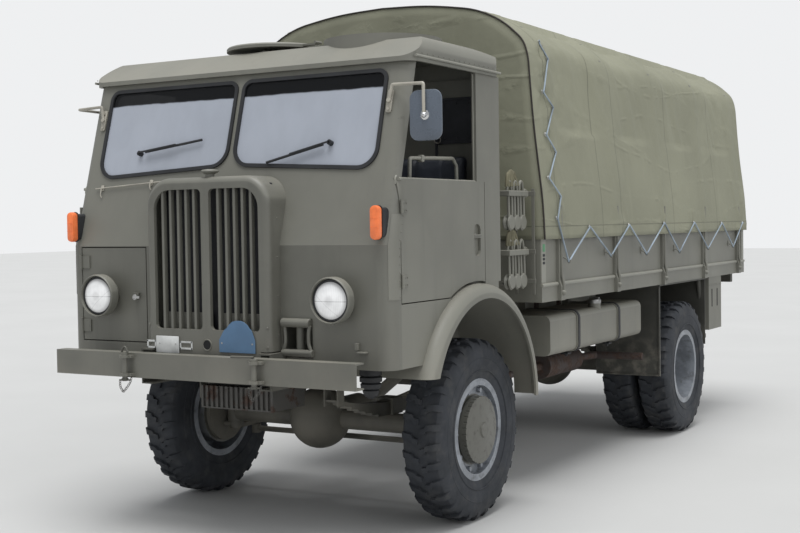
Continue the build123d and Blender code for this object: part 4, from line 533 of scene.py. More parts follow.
def extrude(move):
    """Extrudes what is selected in edit mode."""
    bpy.ops.mesh.extrude_region_move(TRANSFORM_OT_translate={"value": move})


def face_outwards():
    """Selects the whole mesh in edit mode and turns its normals outwards."""
    bpy.ops.mesh.select_all(action="SELECT")
    bpy.ops.mesh.normals_make_consistent(inside=False)


def round_caps(piece, axis, bevel, segments):
    """Rounds the rims of the faces that look along one of the mesh's own axes, and leaves edit mode."""
    bpy.ops.mesh.select_mode(type="FACE")
    bpy.ops.mesh.select_all(action="DESELECT")
    leave_edit()
    for face in piece.data.polygons:
        face.select = abs(face.normal[axis]) > 0.9
    edit_keep()
    bpy.ops.mesh.region_to_loop()
    bpy.ops.mesh.bevel(offset=bevel, segments=segments, affect="EDGES")
    leave_edit()


def thicken(piece, thickness, offset):
    """Gives a sheet its thickness: inwards at offset -1, both ways at 0, outwards at 1."""
    thick = piece.modifiers.new("thickness", "SOLIDIFY")
    thick.thickness = thickness
    thick.offset = offset
    bpy.context.view_layer.objects.active = piece
    bpy.ops.object.modifier_apply(modifier="thickness")


def block(name, centre, size, bevel=0.003, turn=(0, 0, 0), segments=2):
    """A rounded box."""
    deselect()
    bpy.ops.mesh.primitive_cube_add(size=1, location=centre, rotation=turn)
    piece = bpy.context.object
    piece.scale = size
    settle(piece, name)
    edit_all()
    bpy.ops.mesh.bevel(offset=bevel, segments=segments, affect="EDGES")
    leave_edit()
    return piece


def aim(direction):
    """The turn that lays a primitive's own Z along direction."""
    return Vector(direction).to_track_quat("Z", "Y").to_euler()


def drum(name, centre, radius, length, axis=Z_AXIS, bevel=0.002, sides=32, segments=2):
    """A round piece with rounded rims, its middle at centre."""
    deselect()
    bpy.ops.mesh.primitive_cylinder_add(vertices=sides, radius=radius, depth=length, location=centre,
                                        rotation=aim(axis))
    piece = bpy.context.object
    edit_all()
    round_caps(piece, 2, min(bevel, radius * 0.45, length * 0.45), segments)
    return settle(piece, name)


def plate(name, centre, size, radius, axis=Y_AXIS, bevel=0.0012, corners=5):
    """A flat plate with rounded corners; size is its width, height and thickness along axis."""
    axis = Vector(axis).normalized()
    up = Vector((0, 1, 0)) if abs(axis.z) > 0.99 else (Z_AXIS - axis * axis.z).normalized()
    side = up.cross(axis)
    deselect()
    bpy.ops.mesh.primitive_plane_add(size=1)
    piece = bpy.context.object
    piece.scale = (size[0], size[1], 1)
    settle(piece, name)
    edit_all()
    bpy.ops.mesh.bevel(offset=radius, segments=corners, affect="VERTICES")
    bpy.ops.mesh.select_all(action="SELECT")
    extrude((0, 0, size[2]))
    face_outwards()
    round_caps(piece, 2, min(bevel, size[2] * 0.4), 2)
    matrix = Matrix((side, up, axis)).transposed().to_4x4()
    matrix.translation = Vector(centre) - axis * size[2] / 2
    piece.matrix_world = matrix
    return smooth(settle(piece, name), 40)


def smooth(piece, angle=35):
    """Smooth shading with sharp edges above an angle in degrees."""
    activate(piece)
    bpy.ops.object.shade_smooth_by_angle(angle=math.radians(angle))
    return piece


def spin(name, profile, centre, axis=X_AXIS, steps=64):
    """A turned piece: profile holds (along the axis, radius), drawn vertex by vertex and spun."""
    centre = Vector(centre)
    axis = Vector(axis).normalized()
    out = Vector((0, 0, 1)) if abs(axis.z) < 0.9 else Vector((0, -1, 0))
    points = [centre + axis * a + out * r for a, r in profile]
    deselect()
    bpy.ops.mesh.primitive_plane_add(size=0.01, location=points[0])
    piece = bpy.context.object
    settle(piece, name)
    edit_all()
    bpy.ops.mesh.merge(type="CENTER")
    for here, there in zip(points, points[1:]):
        extrude(there - here)
    bpy.ops.mesh.select_all(action="SELECT")
    bpy.ops.mesh.spin(steps=steps, angle=2 * math.pi, center=centre, axis=axis, use_auto_merge=True)
    bpy.ops.mesh.select_all(action="SELECT")
    bpy.ops.mesh.remove_doubles(threshold=0.00005)
    bpy.ops.mesh.normals_make_consistent(inside=False)
    leave_edit()
    return smooth(piece)


def join(name, pieces):
    """Several objects as one mesh."""
    deselect()
    for piece in pieces:
        piece.select_set(True)
    bpy.context.view_layer.objects.active = pieces[0]
    if len(pieces) > 1:
        bpy.ops.object.join()
    return rename(bpy.context.view_layer.objects.active, name)


def duplicate(piece, move):
    """A copy with its own mesh, moved by a matrix."""
    copy = piece.copy()
    copy.data = piece.data.copy()
    copy.data.transform(move)
    return link(copy)


def copied(master, moves, name):
    """The master and its copies, each with its own mesh, moved by a matrix and joined."""
    made = [duplicate(master, move) for move in moves]
    bpy.data.objects.remove(master)
    return join(name, made)


def turned(angle, centre, axis=X_AXIS):
    """The matrix that turns by an angle in radians about an axis through centre."""
    there = Matrix.Translation(Vector(centre))
    return there @ Matrix.Rotation(angle, 4, Vector(axis)) @ there.inverted()


def mirrored(piece, name):
    """A copy on the truck's other side, with its normals set right."""
    copy = duplicate(piece, Matrix.Scale(-1, 4, X_AXIS))
    copy.data.flip_normals()
    return rename(copy, name)


def tube(name, points, radius, sides=4, order=3, cyclic=False):
    """A round bar or cord along a smooth line near the points, as a mesh."""
    curve = bpy.data.curves.new(name, "CURVE")
    curve.dimensions = "3D"
    line = curve.splines.new("NURBS" if order > 2 else "POLY")
    line.points.add(len(points) - 1)
    for point, place in zip(line.points, points):
        point.co = (*place, 1)
    if order > 2:
        line.order_u = order
        line.use_endpoint_u = True
    line.use_cyclic_u = cyclic
    curve.resolution_u = 6
    curve.bevel_depth = radius
    curve.bevel_resolution = sides // 2
    curve.use_fill_caps = True
    activate(link(bpy.data.objects.new(name, curve)))
    bpy.ops.object.convert(target="MESH")
    return smooth(rename(bpy.context.object, name), 50)


def dress(piece, finish, body="chassis", stands_for=()):
    """Gives a finished piece its material, its body and its place in the record."""
    piece.data.materials.clear()
    piece.data.materials.append(FINISHES[finish])
    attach(piece, body)
    if stands_for:
        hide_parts(*stands_for)
    return piece


def assemble(name, pieces, finish, body="chassis", stands_for=()):
    """Joins pieces that share a finish and a body."""
    return dress(join(name, pieces), finish, body, stands_for)


# Sizes and colours that a user would change
class TruckLook(bpy.types.PropertyGroup):
    """Colours of the truck's paint and cloth."""

    body_colour: bpy.props.FloatVectorProperty(
        name="Body paint", description="Colour of the cab and the bed", subtype="COLOR",
        default=BODY_COLOUR, min=0, max=1)
    cloth_colour: bpy.props.FloatVectorProperty(
        name="Cover cloth", description="Colour of the load cover", subtype="COLOR",
        default=CLOTH_COLOUR, min=0, max=1)
    wrinkle_depth: bpy.props.FloatProperty(
        name="Wrinkles", description="Depth of the cover's folds", default=0.021, min=0, max=0.03,
        unit="LENGTH")


class TruckTyres(bpy.types.PropertyGroup):
    """Sizes of the tyre tread."""

    lug_count: bpy.props.IntProperty(
        name="Lugs", description="Tread bars on each side of one tyre", default=30, min=12, max=48)
    lug_height: bpy.props.FloatProperty(
        name="Lug height", description="Height of the tread bars over the groove", default=0.018,
        min=0.005, max=0.03, unit="LENGTH")


class TRUCK_OT_stage(bpy.types.Operator):
    """Makes the floor, the lights and the camera."""

    bl_idname = "truck.stage"
    bl_label = "Stage"

    def execute(self, context):
        make_stage()
        return {"FINISHED"}


def camera_matrix(place, yaw, pitch, roll):
    """A camera's place and turn: yaw to its left from +Y, pitch up, roll clockwise."""
    forward = Vector((-math.sin(yaw) * math.cos(pitch), math.cos(yaw) * math.cos(pitch), math.sin(pitch)))
    right = Vector((math.cos(yaw), math.sin(yaw), 0))
    up = right.cross(forward)
    side = right * math.cos(roll) + up * math.sin(roll)
    top = up * math.cos(roll) - right * math.sin(roll)
    matrix = Matrix((side, top, -forward)).transposed().to_4x4()
    matrix.translation = Vector(place)
    return matrix


def make_stage():
    """A pale floor, soft light from above and the camera at the photograph's place."""
    scene = bpy.context.scene
    scene.view_settings.view_transform = "Standard"
    deselect()
    bpy.ops.mesh.primitive_plane_add(size=120, location=(0, 0, 0))
    floor = bpy.context.object
    floor.name = "floor"
    ground = Finish("pale_floor", Roughness=0.9)
    ground.set("Base Color", ground.mix(ground.noise(0.6, 3.0), (0.52, 0.52, 0.51), (0.58, 0.58, 0.57)))
    floor.data.materials.append(ground.material)

    world = bpy.data.worlds.new("soft_sky")
    scene.world = world
    world.use_nodes = True
    tree = world.node_tree
    tree.nodes.clear()
    path = add_node(tree, "ShaderNodeLightPath")
    seen = Wire(tree, path.outputs["Is Camera Ray"])
    seen = seen.math("MAXIMUM", seen, Wire(tree, path.outputs["Is Transmission Ray"]))
    light = add_node(tree, "ShaderNodeBackground", {}, {"Color": (0.93, 0.96, 1.0, 1), "Strength": 0.50})
    shown = add_node(tree, "ShaderNodeBackground", {}, {"Color": (0.86, 0.87, 0.88, 1), "Strength": 1.0})
    both = add_node(tree, "ShaderNodeMixShader", {}, {0: seen})
    tree.links.new(light.outputs[0], both.inputs[1])
    tree.links.new(shown.outputs[0], both.inputs[2])
    output = add_node(tree, "ShaderNodeOutputWorld")
    tree.links.new(both.outputs[0], output.inputs[0])

    for name, energy, spread, direction in (
        ("key_sun", 2.5, 40.0, (0.10, -0.22, 1.4)),
        ("side_sun", 0.60, 50.0, (1.0, -0.25, 0.5)),
    ):
        lamp = bpy.data.lights.new(name, "SUN")
        lamp.energy = energy
        lamp.angle = math.radians(spread)
        holder = bpy.data.objects.new(name, lamp)
        holder.rotation_euler = aim(direction)
        scene.collection.objects.link(holder)

    data = bpy.data.cameras.new("camera")
    data.sensor_width = 36.0
    data.lens = PHOTO_FOCAL / PHOTO_WIDTH * data.sensor_width
    data.clip_end = 500.0
    camera = bpy.data.objects.new("camera", data)
    camera.matrix_world = camera_matrix((4.247, -8.401, 1.692), 0.528, -0.035, -0.015)
    scene.collection.objects.link(camera)
    scene.camera = camera


class TRUCK_OT_finishes(bpy.types.Operator):
    """Makes the materials and puts them on the frame's nodes."""

    bl_idname = "truck.finishes"
    bl_label = "Finishes"

    def execute(self, context):
        make_finishes()
        for finish, names in NODE_FINISH.items():
            for name in names:
                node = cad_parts[name]
                node.data.materials.clear()
                node.data.materials.append(FINISHES[finish])
                smooth(node, 30)
        return {"FINISHED"}


# Tyres
def tyre_mesh(name, centre):
    """One tyre: a turned casing with shoulder lugs and bars across its tread."""
    sizes = bpy.context.scene.truck_tyres
    half = TYRE_W / 2
    height = sizes.lug_height
    top = TYRE_R - 0.002
    base = top - height
    # Across from the middle and radius, from the bead to the tread
    wall = ((0.095, 0.262), (0.104, 0.290), (0.112, 0.310), (0.121, 0.345), (half - 0.002, 0.385),
            (half - 0.003, 0.420), (0.119, 0.452), (0.112, 0.476), (0.096, base - 0.004),
            (0.060, base + 0.001))
    section = [(-out, radius) for out, radius in wall] + [(0.0, base + 0.003)] + list(reversed(wall))
    casing = spin(name, section, centre, steps=96)
    rings = []
    for side in (1, -1):
        for radius, out in ((0.336, 0.1225), (0.405, 0.1235)):
            bead = ((out - 0.003, radius - 0.006), (out + 0.0015, radius - 0.002),
                    (out + 0.0015, radius + 0.002), (out - 0.003, radius + 0.006))
            rings.append(spin("ring", [(side * across, r) for across, r in bead], centre, steps=96))
    step = 2 * math.pi / sizes.lug_count
    lugs = []
    for side in (1, -1):
        lug = tread_bar(centre, side, top, height)
        turns = [turned(step * (i + (0.5 if side < 0 else 0.0)), centre) for i in range(sizes.lug_count)]
        lugs.append(copied(lug, turns, "lugs"))
    return smooth(join(name, [casing, *rings, *lugs]), 40)


def tread_bar(centre, side, top, height):
    """One bar from the tyre's middle to its shoulder, bent backwards halfway, with its shoulder block."""
    centre = Vector(centre)
    low = top - height - 0.006
    # Across, radius at the top, lead along the tread, half width
    rows = ((0.006, top, 0.000, 0.0145), (0.034, top, 0.004, 0.0155), (0.046, top, 0.022, 0.0155),
            (0.074, top - 0.001, 0.026, 0.0165), (0.094, top - 0.006, 0.028, 0.0185),
            (0.112, top - 0.024, 0.028, 0.0185), (0.1205, top - 0.052, 0.028, 0.0150))
    deselect()
    bpy.ops.mesh.primitive_plane_add(size=1, location=centre)
    piece = bpy.context.object
    settle(piece, "lug")
    first = rows[0]
    corners = [(first[0], first[2] + s * first[3], r) for s, r in ((-1, low), (1, low), (1, top), (-1, top))]
    corners = (corners[0], corners[1], corners[3], corners[2])  # the order of a plane's own vertices
    for vertex, (across, along, radius) in zip(piece.data.vertices, corners):
        vertex.co = centre + Vector((side * across, along, radius))
    for before, after in zip(rows, rows[1:]):
        edit_all() if before is first else edit_keep()
        extrude(Vector((side * (after[0] - before[0]), after[2] - before[2], 0)))
        leave_edit()
        for vertex in piece.data.vertices:
            if not vertex.select:
                continue
            local = vertex.co - centre
            outer = local.z > low + 0.5 * (before[1] - low)
            sign = 1 if local.y > after[2] else -1
            root = min(low, after[1] - height - 0.004)
            radius = after[1] if outer else root
            vertex.co = centre + Vector((side * after[0], after[2] + sign * after[3], radius))
    edit_all()
    bpy.ops.mesh.select_mode(type="FACE")
    bpy.ops.mesh.normals_make_consistent(inside=False)
    leave_edit()
    return piece


class TRUCK_OT_tyres(bpy.types.Operator):
    """Models one treaded tyre and copies it to the six places."""

    bl_idname = "truck.tyres"
    bl_label = "Tyres"

    def execute(self, context):
        master = tyre_mesh("tyre", FRONT_WHEEL)
        for side, s in (("left", 1), ("right", -1)):
            front = duplicate(master, Matrix.Translation(((s - 1) * FRONT_WHEEL.x, 0, 0)))
            front.name = f"treaded_tyre_front_{side}"
            dress(front, "tyre", f"wheel_front_{side}", [f"tyre_front_{side}"])
            moves = [Matrix.Translation((s * x - FRONT_WHEEL.x, REAR_Y - FRONT_WHEEL.y, 0)) for x in TWIN_X]
            twin = [duplicate(master, move) for move in moves]
            rear = join(f"treaded_tyres_rear_{side}", twin)
            dress(rear, "tyre", f"wheel_rear_{side}", [f"tyres_rear_{side}"])
        bpy.data.objects.remove(master)
        return {"FINISHED"}


# Cover
HEM_Z = COVER_LOW.z
SET_IN = 0.006  # the cloth's outside lies this far inside the CAD outline
# The cover's section as (half width, height, corner radius), from the hem to the ridge
SECTION = ((1.128 - SET_IN, HEM_Z, 0.0), (1.118 - SET_IN, 1.800, 0.3), (1.058 - SET_IN, 2.294, 0.3),
           (1.030 - SET_IN, 2.688, 0.1), (0.999 - SET_IN, 2.786, 0.08), (0.858 - SET_IN, 2.917, 0.1),
           (0.674, 3.005 - SET_IN, 0.2), (0.338, 3.060 - SET_IN, 0.3), (0.0, 3.072 - SET_IN, 0.0))
STRINGERS = ((0.0, 3.050), (0.564, 3.008))  # x and top of the bars that run along the bows
# Lacing in the axle's frame, as (y, z): hooks on the bed, eyelets in the hem and by the front edge
HOOKS = ((1.047, 1.427), (1.783, 1.439), (2.500, 1.431), (3.261, 1.424), (4.011, 1.432), (4.760, 1.430))
HEM_EYELETS = ((1.421, 1.639), (2.158, 1.645), (2.919, 1.653), (3.662, 1.650), (4.436, 1.640), (5.090, 1.640))
CORNER_LACING = ((0.962, 2.800), (0.986, 2.690), (0.870, 2.481), (1.008, 2.390), (0.857, 2.216),
                 (0.978, 2.110), (0.819, 1.948), (0.971, 1.832), (0.890, 1.700))
BOW_HALF = 0.022  # half the width of a bow under the cloth
FOLD_OUT = 0.020  # how far a fold may stand out
FOLD_IN = 0.006  # how far it may sink in by the hem, where bars lie close behind the cloth
FLAP_STRAPS = (-0.5, 0.0, 0.5)  # x of the straps round the rolled flap


def cloth_half(z):
    """Half width of the cloth's outside at height z, on its straight lower walls."""
    for low, high in zip(SECTION, SECTION[1:]):
        if low[1] <= z <= high[1]:
            return low[0] + (high[0] - low[0]) * (z - low[1]) / (high[1] - low[1])
    return SECTION[0][0]


def rounded(points, radius_steps=6):
    """A polyline whose inner corners are rounded; each point is (x, z, radius)."""
    line = [Vector(points[0][:2])]
    for before, here, after in zip(points, points[1:], points[2:]):
        corner = Vector(here[:2])
        back = Vector(before[:2]) - corner
        ahead = Vector(after[:2]) - corner
        reach = min(here[2], back.length * 0.48, ahead.length * 0.48)
        start = corner + back.normalized() * reach
        end = corner + ahead.normalized() * reach
        for i in range(radius_steps + 1):
            t = i / radius_steps
            line.append(start * (1 - t) ** 2 + corner * (2 * t * (1 - t)) + end * t * t)
    line.append(Vector(points[-1][:2]))
    return line


def spaced(line, count):
    """Points at even distances along a polyline."""
    lengths = [0.0]
    for a, b in zip(line, line[1:]):
        lengths.append(lengths[-1] + (b - a).length)
    found = []
    at = 0
    for i in range(count):
        target = lengths[-1] * i / (count - 1)
        while at < len(line) - 2 and lengths[at + 1] < target:
            at += 1
        share = (target - lengths[at]) / max(1e-9, lengths[at + 1] - lengths[at])
        found.append(line[at].lerp(line[at + 1], min(1.0, share)))
    return found, lengths[-1]


def bow_sag(y):
    """0 on a bow and 1 halfway between two bows."""
    marks = [COVER_LOW.y, *BOW_Y, COVER_HIGH.y]
    for a, b in zip(marks, marks[1:]):
        if a <= y <= b:
            t = min(1.0, max(0.0, (y - a - BOW_HALF) / (b - a - 2 * BOW_HALF)))
            width = min(1.0, (b - a) / 0.9)
            return 4 * t * (1 - t) * width
    return 0.0


def pulls(y, z):
    """Puckers that run out from the eyelets, at a place on a side wall."""
    total = 0.0
    for points, spokes, reach in ((HEM_EYELETS, 5, 0.16), (CORNER_LACING, 4, 0.10)):
        for eye_y, eye_z in points:
            dy = y - AXLE_Y - eye_y
            dz = z - eye_z
            distance = math.hypot(dy, dz)
            if distance < 3.2 * reach:
                star = math.cos(spokes * math.atan2(dz, dy) + eye_y * 5)
                total += (0.0130 * star * min(1.0, distance / 0.05) - 0.004) * math.exp(-distance / reach)
    return total


def make_cover():
    """The load cover as one continuous sheet over the bows, with sag, folds and a closed front."""
    look = bpy.context.scene.truck_look
    depth = look.wrinkle_depth
    around = 83
    along = 250
    half, length = spaced(rounded(SECTION), around)
    outline = [Vector((p.x, p.y)) for p in half] + [Vector((-p.x, p.y)) for p in reversed(half[:-1])]
    y0 = COVER_LOW.y + 0.004
    y1 = COVER_HIGH.y - 0.004
    vertices = []
    uvs = []
    count = len(outline)
    for j in range(along):
        y = y0 + (y1 - y0) * j / (along - 1)
        sag = bow_sag(y)
        free = sag ** 0.6
        for i, p in enumerate(outline):
            share = i / (count - 1)
            side = 1 if share < 0.5 else -1
            up = 1 - abs(2 * share - 1)
            before = outline[max(0, i - 1)]
            after = outline[min(count - 1, i + 1)]
            tangent = (after - before).normalized()
            normal = Vector((tangent.y, -tangent.x))
            run = up * length
            roof = min(1.0, max(0.0, (up - 0.55) / 0.2))
            push = -sag * (0.020 + 0.020 * roof)
            place = Vector((side * 3.1 + y * 0.9, run * 0.55, 0.0))
            diagonal = math.sin((y * 4.2 + run * 2.6 * side) + 3.5 * noise.noise(place * 1.1))
            upright = noise.noise(Vector((y * 4.1 + run * 0.9, run * 0.7 + side * 7.0, 2.0)))
            small = noise.noise(Vector((y * 11.0 + run * 4.0, run * 4.0, side)))
            folds = 0.6 * max(0.0, diagonal) ** 3 - 0.2 + 0.75 * upright + 0.35 * small
            push += depth * folds * (0.08 + 0.92 * free) * (1 - 0.35 * roof)
            hem = max(0.0, 1 - up / 0.085)
            push += hem * 0.010 * math.sin(y * 8.6 + side) * (0.3 + 0.7 * free)
            if up < 0.55:
                push += pulls(y, p.y)
            if sag < 0.05:
                push = max(push, -0.001)
            push = min(push, FOLD_OUT)
            if up < 0.30:
                push = max(push, -FOLD_IN)
            x = p.x + normal.x * push
            z = p.y + normal.y * push
            for bar_x, bar_top in STRINGERS:
                away = abs(abs(x) - bar_x)
                if away < 0.20:
                    z = max(z, bar_top + 0.005 - max(0.0, away - 0.034) * 0.25)
            vertices.append(Vector((x, y, z)))
            uvs.append((share * 2 * length, y))
    faces = []
    for j in range(along - 1):
        for i in range(count - 1):
            a = j * count + i
            faces.append((a, a + count, a + count + 1, a + 1))
    front = len(vertices)
    rows = 16
    for k in range(1, rows + 1):
        t = k / rows
        for i in range(count):
            edge = vertices[i]
            target = Vector((edge.x * 0.02, y0, max(HEM_Z, min(edge.z, 2.1))))
            spot = edge.lerp(target, t)
            ripple = noise.noise(Vector((spot.x * 5.0, spot.z * 1.6, 4.0))) + 0.5 * math.sin(spot.x * 14)
            spot.y = y0 + (0.004 + 0.008 * ripple) * min(1.0, t * 6)
            vertices.append(spot)
            uvs.append((spot.x + 8, spot.z))
    for k in range(rows):
        for i in range(count - 1):
            a = (front + (k - 1) * count + i) if k else i
            b = front + k * count + i
            faces.append((a, a + 1, b + 1, b))
    piece = sheet_mesh("cover_cloth", vertices, faces, uvs)
    dress(piece, "cloth", "chassis", ["cover"])
    flat_width = 2 * length
    flat_length = y1 - y0
    flat_width * flat_length + 2.1 * 1.45


def sheet_mesh(name, vertices, faces, uvs, thickness=0.003):
    """A cloth sheet with its UV map in metres and a thickness towards its inside."""
    mesh = bpy.data.meshes.new(name)
    mesh.from_pydata(vertices, [], faces)
    layer = mesh.uv_layers.new(name="cloth")
    for polygon in mesh.polygons:
        for loop in polygon.loop_indices:
            layer.data[loop].uv = uvs[mesh.loops[loop].vertex_index]
    piece = activate(link(bpy.data.objects.new(name, mesh)))
    edit_all()
    bpy.ops.mesh.remove_doubles(threshold=0.0004)
    bpy.ops.mesh.normals_make_consistent(inside=False)
    leave_edit()
    thicken(piece, thickness, -1)
    bpy.ops.object.shade_smooth()
    return piece


def make_rear_roll():
    """The rear flap, rolled up under the last bow and held by three straps."""
    centre = Vector((0, COVER_HIGH.y - 0.066, COVER_HIGH.z - 0.124))
    half = 0.64
    turns = 3.2
    steps = 96
    columns = 40
    vertices = []
    uvs = []
    walked = 0.0
    for j in range(steps + 1):
        angle = 2 * math.pi * turns * j / steps
        radius = 0.056 - 0.030 * j / steps
        walked += radius * 2 * math.pi * turns / steps
        for i in range(columns + 1):
            x = -half + 2 * half * i / columns
            waist = 0.004 * max(math.cos((x - strap) / 0.10) if abs(x - strap) < 0.15 else 0
                                for strap in FLAP_STRAPS)
            wobble = 0.003 * noise.noise(Vector((x * 5, angle * 0.8, 1.0)))
            reach = radius - waist + wobble
            vertices.append(centre + Vector((x, reach * math.sin(angle), reach * math.cos(angle))))
            uvs.append((x, walked))
    faces = []
    for j in range(steps):
        for i in range(columns):
            a = j * (columns + 1) + i
            faces.append((a, a + 1, a + columns + 2, a + columns + 1))
    piece = sheet_mesh("rear_flap_roll", vertices, faces, uvs, 0.0022)
    dress(piece, "cloth", "chassis")
    straps = []
    band = [(-0.014, 0.056), (-0.014, 0.0595), (0.014, 0.0595), (0.014, 0.056), (-0.014, 0.056)]
    for x in FLAP_STRAPS:
        straps.append(spin("strap", band, centre + Vector((x, 0, 0)), steps=32))
        straps.append(block("buckle", centre + Vector((x, 0.060, 0)), (0.040, 0.006, 0.026)))
    assemble("rear_flap_straps", straps, "leather")


def eyelet(centre, axis):
    """A bright ring round a dark hole in the cloth."""
    profile = [(-0.001, 0.0075), (0.0015, 0.0072), (0.0028, 0.0095), (0.0022, 0.0125), (-0.001, 0.0135)]
    return spin("eyelet", profile, centre, axis, steps=14)


def passing(place, reach, ends, middle):
    """Three points of a cord that runs along Y past a hook or an eyelet."""
    return [place + Vector((0, along, up)) for along, up in ((-reach, ends), (0, middle), (reach, ends))]


def make_lacing():
    """Eyelets in the cloth and the cord that ties it down to the hooks and along the front corners."""
    rings = []
    cords = []
    hooks = []
    trims = []
    for s in (1, -1):
        wall = Vector((s, 0, 0.06)).normalized()
        for y, z in (*HEM_EYELETS, *CORNER_LACING):
            rings.append(eyelet(Vector((s * (cloth_half(z) + 0.003), AXLE_Y + y, z)), wall))
        line = [Vector((s * (cloth_half(1.70) + 0.008), AXLE_Y + 0.890, 1.700))]
        for (hook_y, hook_z), (eye_y, eye_z) in zip(HOOKS, HEM_EYELETS):
            hook = Vector((s * 1.132, AXLE_Y + hook_y, hook_z))
            line += passing(hook, 0.012, 0.010, -0.004)
            eye = Vector((s * (cloth_half(eye_z) + 0.008), AXLE_Y + eye_y, eye_z))
            line += passing(eye, 0.014, -0.006, 0.004)
            hooks.append(hook)
        cords.append(tube("lacing", line, 0.0055))
        piping = [Vector((s * p.x, COVER_LOW.y + 0.004, p.y)) for p in rounded(SECTION)]
        trims.append(tube("piping", piping, 0.0055))
        zigzag = []
        for y, z in CORNER_LACING:
            eye = Vector((s * (cloth_half(z) + 0.009), AXLE_Y + y, z))
            lean = 0.012 if y < 0.92 else -0.012
            zigzag += [eye + Vector((0, lean, 0.010)), eye, eye + Vector((0, lean, -0.010))]
        cords.append(tube("corner_lacing", zigzag, 0.0050))
    assemble("cover_eyelets", rings, "bare")
    assemble("cover_lacing", cords, "cord")
    assemble("cover_piping", trims, "leather")
    bars = []
    bent = ((-0.040, 0.026), (-0.018, 0.020), (-0.004, -0.008), (0.008, -0.006), (0.009, 0.012))
    for hook in hooks:
        s = 1 if hook.x > 0 else -1
        bars.append(tube("hook", [hook + Vector((s * out, 0, up)) for out, up in bent], 0.004))
        foot = hook + Vector((-s * 0.043, 0, 0.030))
        bars.append(plate("hook_foot", foot, (0.034, 0.050, 0.004), 0.008, Vector((s, 0, 0))))
    assemble("cover_hooks", bars, "paint")


class TRUCK_OT_cover(bpy.types.Operator):
    """Makes the load cover's cloth, its rolled flap and its lacing."""

    bl_idname = "truck.cover"
    bl_label = "Cover"

    def execute(self, context):
        make_cover()
        make_rear_roll()
        make_lacing()
        return {"FINISHED"}


# Small parts that several pieces use
def ends_kept(points, reach=0.022):
    """More points by each bend, so that a smooth line keeps its straight runs."""
    points = [Vector(point) for point in points]
    line = [points[0]]
    for before, here, after in zip(points, points[1:], points[2:]):
        back = (before - here).normalized() * reach
        ahead = (after - here).normalized() * reach
        line += [here + back, here, here + ahead]
    line.append(points[-1])
    return line


def bar(name, start, end, radius, sides=8):
    """A straight round bar."""
    return tube(name, (start, end), radius, sides, order=2)


def bolts(name, places, axis, radius=0.008, height=0.006):
    """Hexagon heads at the places, standing along axis."""
    master = drum("bolt", places[0], radius, height, axis, 0.0012, sides=6, segments=1)
    return copied(master, [Matrix.Translation(Vector(p) - Vector(places[0])) for p in places], name)


def ball(name, centre, radius, axis=Z_AXIS):
    """A ball with a small flat at each end."""
    profile = [(-radius * math.cos(a), radius * math.sin(a)) for a in [math.pi * i / 10 for i in range(11)]]
    return spin(name, profile, centre, axis, steps=20)


def ring(name, centre, radius, wire, axis=X_AXIS):
    """A round loop of wire about an axis."""
    axis = Vector(axis).normalized()
    side = axis.orthogonal().normalized()
    other = axis.cross(side)
    points = []
    for i in range(8):
        angle = math.pi * i / 4
        points.append(Vector(centre) + (side * math.cos(angle) + other * math.sin(angle)) * radius * 1.08)
    return tube(name, points, wire, cyclic=True)


def cut_plate(name, outline, y, thickness, bevel=0.001):
    """An upright plate whose outline is a list of (x, z); y is its front face."""
    deselect()
    bpy.ops.mesh.primitive_circle_add(vertices=len(outline), radius=1, fill_type="NGON")
    piece = bpy.context.object
    for vertex, (x, z) in zip(piece.data.vertices, outline):
        vertex.co = (x, y, z)
    edit_all()
    extrude((0, thickness, 0))
    face_outwards()
    round_caps(piece, 1, bevel, 1)
    return smooth(settle(piece, name), 40)


def strip(name, path, lifts, thickness):
    """A bent sheet: a line of points raised by each lift in turn, with a thickness outwards."""
    deselect()
    bpy.ops.mesh.primitive_plane_add(size=0.01, location=path[0])
    piece = settle(bpy.context.object, name)
    edit_all()
    bpy.ops.mesh.merge(type="CENTER")
    for here, there in zip(path, path[1:]):
        extrude(there - here)
    bpy.ops.mesh.select_all(action="SELECT")
    for lift in lifts:
        extrude(lift)
    face_outwards()
    leave_edit()
    thicken(piece, thickness, 0)
    return smooth(piece, 40)


# Lamps, signals and mirrors
LAMP = Vector((0.773, CAB_FRONT_Y, 1.307))
# Turned sections as (along the axis, radius)
BOWL = ((0.0, 0.0), (0.0, 0.078), (0.045, 0.104), (0.052, 0.114), (0.056, 0.118), (0.101, 0.118),
        (0.106, 0.116), (0.109, 0.113), (0.109, 0.110), (0.104, 0.108), (0.080, 0.107), (0.076, 0.100),
        (0.076, 0.0))
GASKET = ((0.078, 0.080), (0.092, 0.094), (0.095, 0.0975), (0.095, 0.1035), (0.090, 0.1065),
          (0.078, 0.1068), (0.078, 0.080))
LENS = ((0.084, 0.0), (0.084, 0.094), (0.094, 0.0935), (0.099, 0.083), (0.106, 0.055), (0.110, 0.02),
        (0.112, 0.0))
# A turn signal's parts: name, middle in front of the wall, size, corner radius, bevel
SIGNAL_PARTS = (("foot", 0.008, (0.044, 0.150, 0.064), 0.020, 0.003),
                ("gasket", 0.042, (0.055, 0.172, 0.006), 0.026, 0.002),
                ("lens", 0.066, (0.052, 0.169, 0.044), 0.024, 0.012))
SIGNAL = Vector((1.008, slope_y(1.690), 1.690))
ARM_ROOT = Vector((0.962, slope_y(2.300) - 0.014, 2.300))
ARM_BEND = Vector((0.978, slope_y(2.383) - 0.030, 2.383))
LEFT_HEAD = Vector((1.195, AXLE_Y - 0.915, 2.215))
RIGHT_HEAD = Vector((-1.177, AXLE_Y - 0.437, 2.290))
SLOPE_OUT = Vector((0, -math.cos(SLOPE), math.sin(SLOPE)))


